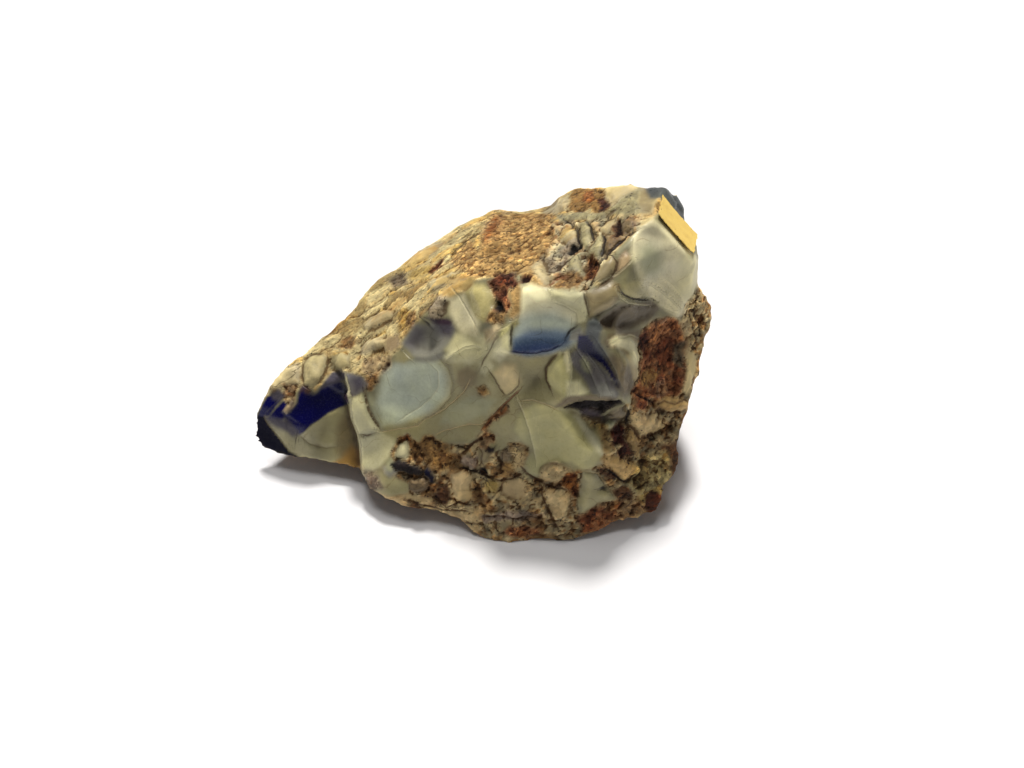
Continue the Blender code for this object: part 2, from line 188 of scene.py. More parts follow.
ROOF = {
    "left_slope": ("cream_dim", 1.5, "258,400 266,384 278,370 300,358 300,384 290,386 272,394", 0.3, 6),
    "block": ("block_cream", 1.5,
        "301,368 304,359 311,353 323,352 327,357 327,367 323,377 317,386 311,390 304,385 301,377", 0.35, 6),
    "block_right": ("block_cream", 1.5, "330,370 330,357 340,352 351,356 350,367 340,371", 0.3, 6),
    "block_tan": ("leather", 1.5, "283,385 296,387 295,397 288,402 282,396", 0.25, 5),
    "left_brown": ("umber", 1.5, "268,397 272,389 282,387 282,397 275,396", 0.2, 4),
    "ochre_dip": ("honey_dark", 2.5, "336,347 340,340 350,334 358,335 360,342 352,349 342,351", -0.2, 4),
    "pale_lump": ("cream_dim", 2,
        "360,353 362,345 368,340 378,337 388,340 385,347 374,351 364,356", 0.4, 5),
    "pink_slope": ("pink_brown", 3, "385,350 386,338 398,334 401,344 392,352"),
    "brown_hollow": ("crust_pale", 2, "360,372 364,360 378,355 392,355 392,368 380,376 368,377", -0.2, 5),
    "dark_hollow": ("umber", 2, "383,371 385,361 392,359 393,370 388,374", -0.2, 3),
    "corner_rust": ("honey_dark", 2, "364,377 378,375 379,383 372,389 365,386"),
    "stain": ("grey_stone", 5, "386,281 391,275 399,273 406,276 408,282 402,287 392,289", -0.25, 4),
    "ochre_bank": ("ochre_pale", 3, "397,313 408,306 412,314 411,322 404,331 399,332 397,322"),
    "brown_bank": ("honey_dark", 2.5, "407,324 408,316 414,312 417,318 412,325"),
    "ochre_top": ("ochre_olive", 2.5, "408,278 412,270 422,266 432,264 431,272 424,277 414,280", -0.15, 4),
    "ochre_top_brown": ("rust", 2, "428,272 433,266 441,260 444,262 438,269 431,274", -0.25, 3),
    "flow_upper": ("crust_cream", 2, "438,246 452,232 470,218 482,212 480,216 464,230 448,244 440,250"),
    "flow_middle": ("crust_olive", 2, "446,256 458,244 474,230 486,220 484,228 470,240 456,252 449,260"),
    "rim_olive": ("crust_cream", 2,
        "482,222 490,213 498,208 512,210 522,213 506,217 495,223 488,233 482,244"),
    "big_rust": ("roof_rust", 3,
        "478,248 486,236 494,228 502,218 520,213 545,211 554,213 550,221 558,225 552,235 562,241 567,246 "
        "564,257 556,262 545,259 538,263 520,272 504,276 490,277 470,276 458,270 449,262 456,250 "
        "468,242", 0.25, 7),
    "big_rust_left": ("rust", 7, "482,236 486,224 494,214 503,214 500,226 492,238 486,242"),
    "big_rust_rim": ("rust_tan", 3, "512,214 534,210 553,211 551,218 534,220 516,220"),
    "big_rust_dark": ("rust_tan", 4, "486,250 498,243 506,248 500,258 488,260"),
    "big_rust_spot": ("umber", 2, "549,256 553,250 560,250 560,257 553,259"),
    "big_rust_pale": ("roof_rust", 4, "526,226 536,222 543,228 540,240 530,240"),
    "plate_top": ("cream_dim", 1.5,
        "403,268 410,260 424,249 436,241 443,243 436,252 424,260 412,267", 0.3, 5),
    "plate_mid": ("cream_dim", 1.5, "428,284 440,276 452,272 458,275 448,283 436,290 430,290", 0.25, 5),
    "plate_low": ("cream_dim", 1.5, "362,326 372,318 384,312 394,310 392,318 380,326 368,332", 0.2, 5),
    "pocket_low": ("ochre_pale", 2, "318,336 330,326 346,317 356,316 350,323 338,331 326,338", -0.15, 4),
}
SUMMIT = {
    "pale_facet": ("cream_dim", 2,
        "545,208 553,199 560,194 570,193 569,205 566,211 557,214 545,214 535,211", 0.3, 5),
    "top_rust": ("rust_tan", 2,
        "569,196 574,188 582,184 600,184 607,191 619,197 619,202 612,207 604,211 597,214 589,211 578,213 "
        "569,210 570,203", -0.2, 4),
    "top_rust_dark": ("rust", 2, "583,199 585,190 592,189 594,197 588,201"),
    "top_rust_edge": ("maroon", 2,
        "594,198 602,195 610,196 618,198 617,203 608,205 604,210 598,208 600,203"),
    "moss": ("moss", 2,
        "567,214 580,211 595,213 606,212 603,221 592,223 585,220 575,221 566,225 559,221 556,215"),
    "grey_dip": ("grey_stone", 2, "561,221 570,218 578,224 578,231 569,233 562,229"),
    "summit_olive": ("moss", 3, "606,215 612,202 624,192 640,186 652,190 656,200 648,212 636,216 620,214"),
    "summit_left": ("opal_warm", 3, "604,196 608,184 634,180 636,190 622,196 612,204"),
    "summit_right": ("opal_brown", 3, "638,200 642,188 654,188 656,202 652,214 642,214"),
}
JUMBLE = {
    "base": ("jumble", 3,
        "552,224 566,224 590,222 606,216 642,216 640,228 622,242 604,262 596,280 584,294 560,290 546,286 "
        "541,262 556,240"),
    "lump_a": ("cream_dim", 1.5,
        "560,237 563,231 572,228 580,231 581,239 575,245 566,247 559,242", 0.35, 5),
    "lump_b": ("moss", 1.5, "580,223 588,220 593,228 592,240 586,247 580,244 579,234", 0.35, 5),
    "lump_c": ("moss", 1.5, "592,243 599,235 605,233 607,241 603,252 596,258 588,256 587,248", 0.35, 5),
    "lump_d": ("dim_tan", 1.5, "603,234 612,235 623,238 615,246 606,255 601,256 604,246", 0.35, 5),
    "lump_e": ("cream_dim", 1.5, "600,227 606,219 615,217 618,226 618,234 610,236 602,233", 0.35, 5),
    "lump_f": ("dim_tan", 1.5, "620,227 624,218 634,216 638,222 631,230 623,233", 0.35, 5),
    "dark_gap": ("umber", 2, "614,232 616,218 621,218 620,234 616,236", -0.4, 3),
    "wedge_left": ("grey_tan", 1.5, "541,259 556,258 562,262 559,270 552,273 546,270 542,264", -0.3, 3),
    "wedge_right": ("grey_tan", 1.5,
        "566,245 577,240 581,246 577,252 570,258 564,266 560,272 557,264", -0.3, 3),
    "black_gap": ("black", 1.5, "568,252 574,246 581,246 578,251 571,256", -0.5, 3),
    "slab": ("moss", 1.5, "570,258 577,253 582,257 584,268 587,279 580,277 571,272 567,268", 0.35, 5),
    "rust_wedge": ("rust", 2, "584,258 592,258 600,258 598,267 594,276 589,281 585,270", -0.3, 4),
    "ochre_band": ("honey_dark", 2, "552,285 560,276 569,272 578,274 584,280 585,289 574,290 560,290"),
    "flare": ("honey", 3, "519,274 528,267 540,262 544,269 546,279 548,286 540,288 530,285", 0.4, 9),
    "plate_left": ("opal_brown", 1.5,
        "594,281 600,268 606,260 613,256 617,259 616,270 610,279 602,283", 0.4, 8),
    "plate_right": ("pink_brown", 1.5, "616,270 618,258 625,250 632,255 629,265 620,273 612,279", 0.4, 8),
    "grey_facet": ("opal_brown", 2,
        "584,293 600,285 612,280 620,285 619,298 612,307 600,313 590,317 586,306", 0.4, 9),
    "slit_corner": ("opal_green", 3, "622,300 624,284 644,280 650,296 640,299"),
    "flare_block": ("cream_dim", 2, "531,268 541,260 546,262 549,275 550,286 543,284 536,276", 0.3, 6),
    "flare_spot": ("maroon", 1.5, "521,277 526,275 531,278 529,282 523,281", -0.3, 3),
}
SHOULDER = {
    "rust_hole": ("rust_dark", 2.5,
        "486,281 500,276 515,278 516,285 509,291 507,299 511,304 505,313 496,313 490,306 493,296 "
        "489,288", -0.3, 5),
    "rust_hole_dark": ("black", 2, "494,308 497,302 502,304 502,311 497,312", -0.4, 3),
    "rust_hole_ochre": ("honey_dark", 3, "486,320 490,312 506,312 504,322 494,325"),
    "tan_side": ("honey", 3, "508,291 517,283 523,290 524,306 521,318 514,322 508,316 512,304"),
    "blue_brow": ("opal_white", 3,
        "522,288 530,284 545,288 553,299 562,305 577,312 577,322 570,323 560,318 545,316 530,318 520,324 "
        "521,305"),
    "blue_haze": ("opal_mist", 8,
        "514,322 530,314 552,312 570,320 577,330 574,342 556,350 530,354 512,352"),
    "shadow_zone": ("dark_stone", 3,
        "594,326 602,317 612,309 622,304 640,303 655,300 661,306 655,316 645,323 632,330 619,333 "
        "606,330", -0.3, 6),
    "diagonal_grey": ("slate_grey", 2.5, "584,338 588,320 596,317 602,326 600,346 592,342"),
    "olive_step": ("olive_dark", 3, "603,342 608,334 622,332 640,330 640,345 634,350 620,340 608,348"),
    "under_ledge": ("opal_green", 2,
        "512,353 530,355 550,352 563,346 560,356 550,362 547,378 541,398 524,398 518,380 512,364"),
    "rust_hole_top": ("maroon", 2.5, "487,279 500,275 515,277 516,284 505,287 493,288"),
    "blue_mid": ("slate_blue", 6,
        "510,338 530,329 555,328 572,331 577,338 568,346 554,352 530,356 510,355"),
    "blue_face": ("blue", 6, "509,344 525,337 545,336 562,337 573,338 566,346 552,352 532,355 510,356"),
    "blue_deep": ("deep_blue", 4, "509,350 522,345 540,344 554,345 548,351 532,355 511,357"),
    "grey_bridge": ("ash", 2, "569,340 571,331 580,328 583,334 577,341"),
    "white_wedge": ("opal_pale", 2,
        "548,288 560,290 575,290 583,292 585,300 588,310 585,321 578,323 577,312 570,307 560,302 "
        "553,297", 0.25, 9),
}
SMOOTH = {
    "corner": ("slate_grey", 2,
        "645,190 655,184 670,184 678,190 684,200 690,212 692,228 697,238 684,234 677,222 668,209 660,198 "
        "650,199"),
    "facet": ("smooth_pale", 4,
        "632,237 640,227 655,222 668,229 680,240 694,256 700,262 701,282 697,294 693,302 687,313 680,319 "
        "670,313 660,305 652,298 646,290 642,282 636,270 631,255"),
    "facet_blue": ("opal_grey", 8, "638,262 640,248 650,242 662,252 664,270 654,278 644,274"),
    "facet_warm": ("smooth_pale", 3, "648,288 662,282 676,294 682,308 678,316 664,308 654,299"),
    "facet_light": ("cream_pale", 5, "676,292 676,262 688,250 697,264 696,288 688,300"),
}
SIDE = {
    "right_rim": ("umber_light", 3,
        "690,300 700,284 708,294 714,315 713,330 708,345 703,362 698,378 690,380 686,360 682,345 676,332 "
        "682,318"),
    "right_rim_pale": ("crust_pale", 3, "680,346 680,322 690,318 694,334 692,352 686,358"),
    "granular": ("rust_dark", 2.5,
        "636,342 645,332 655,322 668,317 677,322 683,332 685,346 686,362 686,376 683,389 678,397 666,399 "
        "658,401 648,398 639,397 633,390 638,378 640,365 640,354", -0.4, 7),
    "granular_ochre": ("rust_dark", 4, "650,340 662,332 674,340 676,360 664,372 652,362"),
    "granular_foot": ("rust_dark", 3, "634,396 638,384 650,386 652,400 646,412 636,408"),
    "pale_strip": ("opal_warm", 2,
        "688,352 693,350 697,356 696,370 691,384 686,394 683,391 686,378 688,364"),
    "ochre_lumps": ("honey", 2, "654,404 662,398 672,396 683,398 691,402 689,409 678,412 666,413", 0.4, 7),
    "tan_bank": ("crust_tan", 4, "660,414 690,412 690,440 676,448 662,436"),
    "side_low": ("umber", 4, "660,446 682,436 686,470 676,492 662,486"),
    "side_dark": ("umber", 3, "664,452 676,444 684,452 680,474 668,476"),
    "granular_dark": ("maroon", 3, "637,338 646,332 650,342 645,352 638,352"),
    "granular_grey": ("grey_stone", 3, "676,344 685,342 686,356 682,368 676,362"),
    "granular_gold": ("ochre", 3, "640,375 650,368 660,372 656,382 645,384"),
}
LEFT = {
    "olive_face": ("olive_light", 1.5,
        "262,418 276,423 288,423 298,434 308,428 320,419 336,409 352,403 353,420 358,433 362,450 363,475 "
        "340,470 312,463 288,453 277,438"),
    "olive_pale": ("olive_light", 5, "282,428 298,438 318,430 326,444 308,452 290,446"),
    "olive_ochre": ("opal_brown", 6, "338,424 350,410 356,430 361,450 362,472 346,467 336,452"),
    "olive_foot": ("opal_ochre", 2.5, "330,464 338,460 352,462 364,468 364,478 340,472"),
    "end_facet": ("near_black", 1.5,
        "244,436 252,424 259,412 266,398 272,392 276,398 267,408 264,416 270,426 277,435 284,444 290,452 "
        "306,461 290,464 270,460 254,450"),
    "end_brown": ("near_black", 3, "264,434 272,432 276,440 270,446 264,442"),
    "end_rim": ("dusk", 1.5, "248,436 254,437 262,446 278,454 276,459 262,453 250,445"),
    # Painted shadow: black laid along the foot's lower edge, beside the floor's shadow.
    "foot_painted_shadow": ("black", 2, "276,454 290,457 302,461 290,465 276,460"),
    "navy_left": ("navy", 1.2, "258,416 263,404 268,396 276,395 282,398 276,406 269,416", 0, 3),
    "navy_middle": ("navy", 1.2, "267,419 276,408 284,401 289,404 286,411 284,420 276,422"),
    "navy_band": ("navy", 1.2,
        "284,414 292,412 297,403 299,393 304,389 309,390 311,397 317,394 321,387 328,384 336,381 344,383 "
        "348,390 346,397 351,402 347,405 338,408 328,413 320,420 311,425 304,432 298,436 294,430 287,424"),
    "fringe_left": ("plum", 2, "298,394 301,385 308,385 313,394 304,391"),
    "fringe_right": ("dusk", 2, "318,391 325,381 332,372 342,370 348,377 340,382 328,386"),
    "spur": ("crust_pale", 1.2, "284,400 289,396 296,397 295,405 291,411 286,414 284,411 288,404", 0.25, 4),
    "spur_brown": ("mauve_brown", 1.5, "289,402 293,397 296,404 291,408"),
    "rust_dot": ("umber", 1.5, "306,385 312,386 312,393 308,393"),
    "olive_blue": ("dusk", 3, "266,417 276,418 288,420 298,432 294,438 282,430 270,424"),
    "halo_one": ("dusk", 2, "270,394 279,388 286,396 280,402 272,400"),
    "navy_dark": ("navy_deep", 5,
        "286,411 296,405 306,395 322,392 340,385 347,391 338,399 318,404 304,411 292,415"),
    "olive_corner": ("opal_ochre", 5, "343,456 352,446 360,452 363,472 350,469 338,465"),
}
STEP = {
    "purple": ("mauve_grey", 2.5, "344,372 352,373 362,376 368,384 364,391 356,397 350,395 347,384"),
    "purple_dark": ("dusk", 2.5, "352,380 360,377 363,386 356,392"),
    "lilac_knob": ("plum", 1.5, "343,394 350,391 354,398 349,402 345,400", 0.4, 3),
    "pale_strip": ("opal_pale", 1.5,
        "352,398 362,394 366,405 371,418 381,432 372,434 360,434 355,424 351,410", 0.15, 6),
    "shade": ("opal_grey", 4, "365,397 372,396 377,412 390,424 382,432 374,420 367,408"),
    "yellow_column": ("opal_pale", 3,
        "361,436 378,433 392,434 399,438 393,448 388,458 381,465 374,471 364,474 361,455"),
    "foot_corner": ("opal_green", 3, "364,477 380,470 396,478 410,484 408,494 388,497 370,491"),
    "foot_edge": ("cream", 3, "370,492 392,498 410,494 432,498 434,514 404,514 384,504"),
    "corner_lilac": ("mauve_brown", 6, "364,473 380,474 382,488 372,494 363,487"),
    "corner_white": ("ash", 3, "383,467 392,464 398,472 390,478 384,474"),
}
CENTRE = {
    "middle": ("opal_green", 4,
        "384,432 400,380 440,360 500,350 550,366 566,400 604,430 604,464 530,480 480,440 400,446"),
    "oval": ("opal_mist", 7,
        "384,374 396,363 420,360 436,361 443,368 447,380 446,396 436,408 418,418 398,425 384,424 377,410 "
        "379,390"),
    "oval_foot": ("opal_green", 4, "382,428 404,424 430,414 450,398 460,394 450,406 430,420 400,431"),
    "scar": ("ash", 4,
        "403,343 410,332 415,325 424,325 440,322 452,323 455,334 450,344 440,354 428,358 "
        "412,356", -0.15, 10),
    "scar_left": ("mauve_grey", 6, "404,343 411,331 416,325 425,328 424,340 412,349"),
    "scar_purple": ("dusk", 5, "436,321 450,320 455,328 450,337 440,335 434,328"),
    "scar_sill": ("ash", 3, "412,356 428,352 442,350 446,358 432,362 416,361"),
    "knob": ("grey_tan", 2,
        "426,318 430,308 436,301 441,294 447,295 450,300 446,307 444,314 440,320 434,319", 0.9, 6),
    "knob_foot": ("plum", 1.5, "424,317 434,319 443,318 453,321 450,325 436,325"),
    "under_crest": ("opal_green", 3, "392,361 399,350 405,351 413,358 404,363"),
    "crest_cream": ("cream_dim", 3, "440,291 448,281 460,276 473,278 474,287 462,293 452,297 444,297"),
    "glow_left": ("smooth_pale", 4, "448,300 464,294 472,310 480,324 478,340 464,336 456,326 450,314"),
    # Painted glow: light shining through the opal, laid as colour over its own yellow-green.
    "glow": ("glow", 3,
        "466,292 473,284 484,283 491,290 494,298 492,307 487,314 484,322 478,318 472,308", 0.3, 9),
    "pale_middle": ("opal_pale", 4, "446,350 456,334 476,336 492,330 498,336 489,356 470,364 450,362"),
    # Painted highlight along a ridge.
    "edge_light": ("opal_pale", 2.5, "442,357 454,349 470,341 475,342 460,351 448,360", 0.2, 8),
    "pink_middle": ("pink_tan", 3, "484,331 498,324 502,330 494,341 486,343"),
    "green_ridge": ("opal_yellow", 2, "498,334 506,326 517,318 520,324 508,332 500,339", 0.25, 7),
    "wedge_green": ("opal_pale", 3, "489,358 500,339 511,330 511,350 500,363"),
    "smudge": ("opal_brown", 3, "458,371 468,367 478,372 476,384 464,392 457,382"),
    "smudge_edge": ("opal_pale", 3, "478,362 488,358 494,366 486,376 480,372"),
    "ochre_spot": ("honey_dark", 2.5, "475,386 482,386 488,393 484,398 477,395"),
    "lump_warm": ("opal_warm", 4, "494,373 504,362 516,364 520,382 514,392 503,395", 0.2, 10),
    "mist": ("opal_grey", 4, "446,408 470,396 496,400 486,414 462,424 440,424"),
    "green_lower": ("opal_green", 4, "490,428 510,410 522,412 528,434 512,444 494,440"),
    "crack_rust": ("rust", 2.5, "482,430 492,418 500,410 504,402 510,403 510,411 502,417 493,422"),
    "yellow_facet": ("opal_yellow", 3,
        "552,357 560,352 568,355 569,370 570,385 565,396 557,392 549,385 545,375 547,366", 0.3, 9),
    "white_streak": ("cream_pale", 1.5, "563,352 568,350 571,364 570,377 566,370"),
    "mottled": ("opal_pale", 3, "566,381 580,380 588,392 578,398 568,397"),
}
BLUES = {
    "striped": ("stripe_grey", 2,
        "570,354 576,350 584,352 593,358 601,366 608,374 615,384 619,394 617,398 606,397 592,394 588,386 "
        "582,376 575,370 570,362"),
    "striped_light": ("opal_grey", 2, "580,360 584,356 590,364 590,374 584,370"),
    "striped_lilac": ("ash", 3, "592,388 604,382 617,392 616,399 600,399"),
    "navy_streak": ("navy_deep", 1.3,
        "576,340 579,334 587,335 594,343 602,353 608,362 614,372 619,381 621,391 616,386 609,374 601,365 "
        "592,358 584,353 578,349"),
    "streak_haze": ("slate", 3, "593,338 600,344 606,354 608,361 602,356 595,347"),
    "dark_wedge": ("dark_stone", 4,
        "606,358 614,354 622,358 629,366 633,376 634,387 629,394 623,397 620,391 617,380 613,370"),
    "pale_olive": ("opal_warm", 2.5,
        "609,343 614,337 624,334 634,335 638,342 637,352 637,364 638,378 633,379 630,366 626,354 618,346 "
        "611,348", 0.25, 8),
    "pale_olive_top": ("cream_pale", 2,
        "609,340 616,335 630,336 637,344 638,360 633,368 628,354 618,347 611,345", 0.15, 4),
}
# The notch is an undercut: its dark zones paint shade into it, over the shade that its relief casts.
NOTCH = {
    "roof_edge": ("dark_stone", 2,
        "553,408 562,400 570,396 590,395 606,397 618,398 610,402 590,401 572,403 560,408"),
    "hollow": ("black", 2,
        "560,408 574,402 592,400 608,401 623,400 626,405 618,407 610,409 606,416 598,417 588,412 "
        "574,408", -0.9, 5),
    "floor": ("plum", 2, "580,411 592,412 604,416 605,424 592,423 582,417"),
    "glass_lump": ("olive_dark", 1.5, "607,414 612,409 620,407 627,412 627,418 619,420 608,420", 0.7, 4),
    "glass_foot": ("opal_grey", 1.5, "603,425 608,419 615,421 614,428 607,431", 0.5, 4),
}
FACE = {
    "yellow_green": ("opal_yellow", 3,
        "520,412 536,404 552,408 563,409 573,411 581,417 588,423 596,430 601,437 602,450 602,456 597,462 "
        "594,468 584,470 572,462 560,462 550,462 545,467 538,476 530,474 526,462 532,450 522,440 514,430"),
    # Painted highlight along a ridge.
    "bright_ridge": ("opal_white", 4, "574,416 580,417 592,432 602,446 602,454 596,450 586,434", 0.12, 9),
    "ochre_side": ("crust_cream", 4, "584,418 598,418 606,426 604,440 594,428"),
    "brown_lumps": ("honey_dark", 2.5, "508,445 520,443 531,446 530,455 524,462 514,458"),
}
LOWER = {
    "brown_patch": ("honey_dark", 2.5,
        "396,441 403,434 409,432 413,438 418,441 424,436 432,436 440,440 447,446 451,452 458,455 463,458 "
        "466,463 461,471 452,473 445,472 438,470 430,468 424,462 415,460 408,460 400,462 394,460 "
        "393,451", -0.25, 6),
    "brown_ochre": ("ochre", 3, "430,450 442,450 452,458 448,466 434,464 428,456"),
    "brown_rust": ("rust", 2, "403,440 404,433 409,432 409,441"),
    "pale_lump": ("cream_pale", 1.5,
        "400,444 406,441 409,448 409,456 406,460 399,460 395,456 397,449", 0.25, 6),
    "whitish": ("opal_grey", 2, "387,462 392,458 395,465 392,472 387,470"),
    "nodule_left": ("black", 1.5,
        "391,465 398,462 404,462 412,463 420,464 424,470 420,476 412,476 404,473 398,470 393,469", 0.5, 3),
    "nodule_right": ("near_black", 1.5, "423,471 428,466 433,472 431,478 425,477", 0.5, 3),
    "nodule_low": ("near_black", 1.5, "427,476 435,475 435,483 429,484", 0.4, 3),
    "grey_lump": ("grey_stone", 2, "410,479 420,476 430,480 428,491 414,491", 0.4, 4),
    "rust_left": ("umber", 2, "437,489 446,485 450,492 452,500 446,506 438,505 434,497", -0.2, 4),
    "rust_right": ("honey_dark", 2, "472,483 479,479 482,490 485,498 481,505 474,503 471,494", -0.2, 4),
    "lump_mauve": ("mauve_brown", 2, "461,462 466,455 478,456 480,465 470,471", 0.25, 6),
    "lump_olive": ("opal_brown", 2, "478,448 488,444 491,453 488,463 478,462", 0.25, 6),
    "lump_maroon": ("black", 2, "486,446 497,444 498,453 490,455"),
    "lump_dusk": ("grey_stone", 2, "498,450 508,447 513,455 510,463 500,462", 0.25, 6),
    "lump_ochre": ("honey_dark", 2.5, "499,463 512,462 516,471 508,480 500,476", 0.25, 6),
    "lump_pink": ("honey_pale", 2.5, "512,446 524,446 527,458 523,470 513,468", 0.25, 6),
    "lump_brown": ("leather", 2.5, "473,436 486,431 498,434 497,444 482,446"),
    "yellow_patch": ("ochre_olive", 3, "484,482 494,479 501,486 496,493 486,491"),
    "cream_bank": ("cream", 3, "450,474 462,471 474,476 472,490 474,500 458,502 450,490", 0.3, 6),
    "speckled": ("cream", 3, "500,482 512,478 526,482 526,500 510,502 500,496"),
    "laminated": ("crust_pale", 3, "400,496 430,503 450,508 482,506 484,530 450,545 400,530"),
    "laminated_brown": ("umber", 2, "407,504 418,502 422,509 410,512"),
    "mottled": ("crust_tan", 4, "482,506 525,506 524,545 486,550 478,526"),
    "dark_seam": ("mauve_brown", 2, "480,515 500,513 520,512 546,514 545,521 510,522 484,521"),
    "green_grey": ("opal_brown", 3, "499,522 511,520 514,530 502,532"),
    "lump_pit": ("black", 1.5, "478,467 485,468 487,474 480,474", -0.3, 3),
}
CORNER = {
    "lump_left": ("crust_pale", 2,
        "539,479 540,470 545,465 551,462 557,461 564,465 571,468 573,476 566,480 556,484 548,482", 0.35, 6),
    "rust_cleft": ("rust", 2, "560,479 566,473 576,475 579,481 579,490 581,498 573,499 567,490", -0.3, 4),
    "lump_low": ("crust_pale", 2.5,
        "541,486 553,490 562,489 568,492 573,499 572,510 566,521 555,521 549,512 543,500", 0.4, 9),
    "green_grey": ("opal_green", 2,
        "582,471 592,470 598,474 603,480 607,486 613,490 616,498 608,503 598,507 588,513 580,518 576,505 "
        "580,490", 0.4, 9),
    "tan_facet": ("honey", 2,
        "600,459 604,454 615,455 628,460 641,462 643,470 636,474 630,479 626,482 619,478 611,472 "
        "605,466", 0.4, 7),
    "brown_triangle": ("umber", 1.5, "597,470 604,468 611,472 618,479 612,480 603,477"),
    "cream_triangle": ("cream_pale", 1.5, "621,485 630,481 641,481 639,490 630,495 623,493", 0.4, 7),
    "peak": ("umber", 2, "610,491 622,486 635,493 632,500 618,500"),
    "crust": ("crust_olive", 4, "636,456 668,452 670,500 656,518 640,512 632,480"),
    "crust_maroon": ("maroon", 3, "642,500 652,492 666,494 662,512 646,518"),
    "bottom_tan": ("leather", 4, "598,504 640,500 648,516 620,528 598,524"),
    "bottom_rust": ("rust_dark", 3, "576,518 598,508 614,514 606,534 580,536"),
    "bottom_cream": ("crust_tan", 4, "524,522 548,514 576,522 578,546 540,556 524,546"),
    "bottom_red": ("rust_dark", 3, "503,532 510,526 522,524 536,527 541,532 530,538 512,539"),
    "maroon_face": ("maroon", 2.5, "617,452 620,438 631,440 636,452 632,458 622,458"),
    "rust_face": ("maroon", 2.5, "610,432 616,426 625,424 626,434 628,442 620,448 613,444 610,438"),
    "tan_column": ("honey", 3, "601,424 608,430 611,444 609,454 603,452 601,438"),
    "ochre_lump": ("honey", 1.5, "626,425 632,424 638,432 640,441 641,450 637,458 631,450 626,440", 0.3, 7),
    "tan_block": ("honey_pale", 1.5,
        "628,418 633,412 641,411 650,414 661,419 666,427 656,432 646,436 640,438 633,428", 0.3, 7),
    "cream_bit": ("cream_dim", 1.5, "624,412 626,404 631,405 631,412 628,414", 0.4, 3),
}
ZONE_GROUPS = (
    GROUND, ROOF, SUMMIT, JUMBLE, SHOULDER, SMOOTH, SIDE, LEFT, STEP, CENTRE, BLUES, NOTCH, FACE,
    LOWER, CORNER)
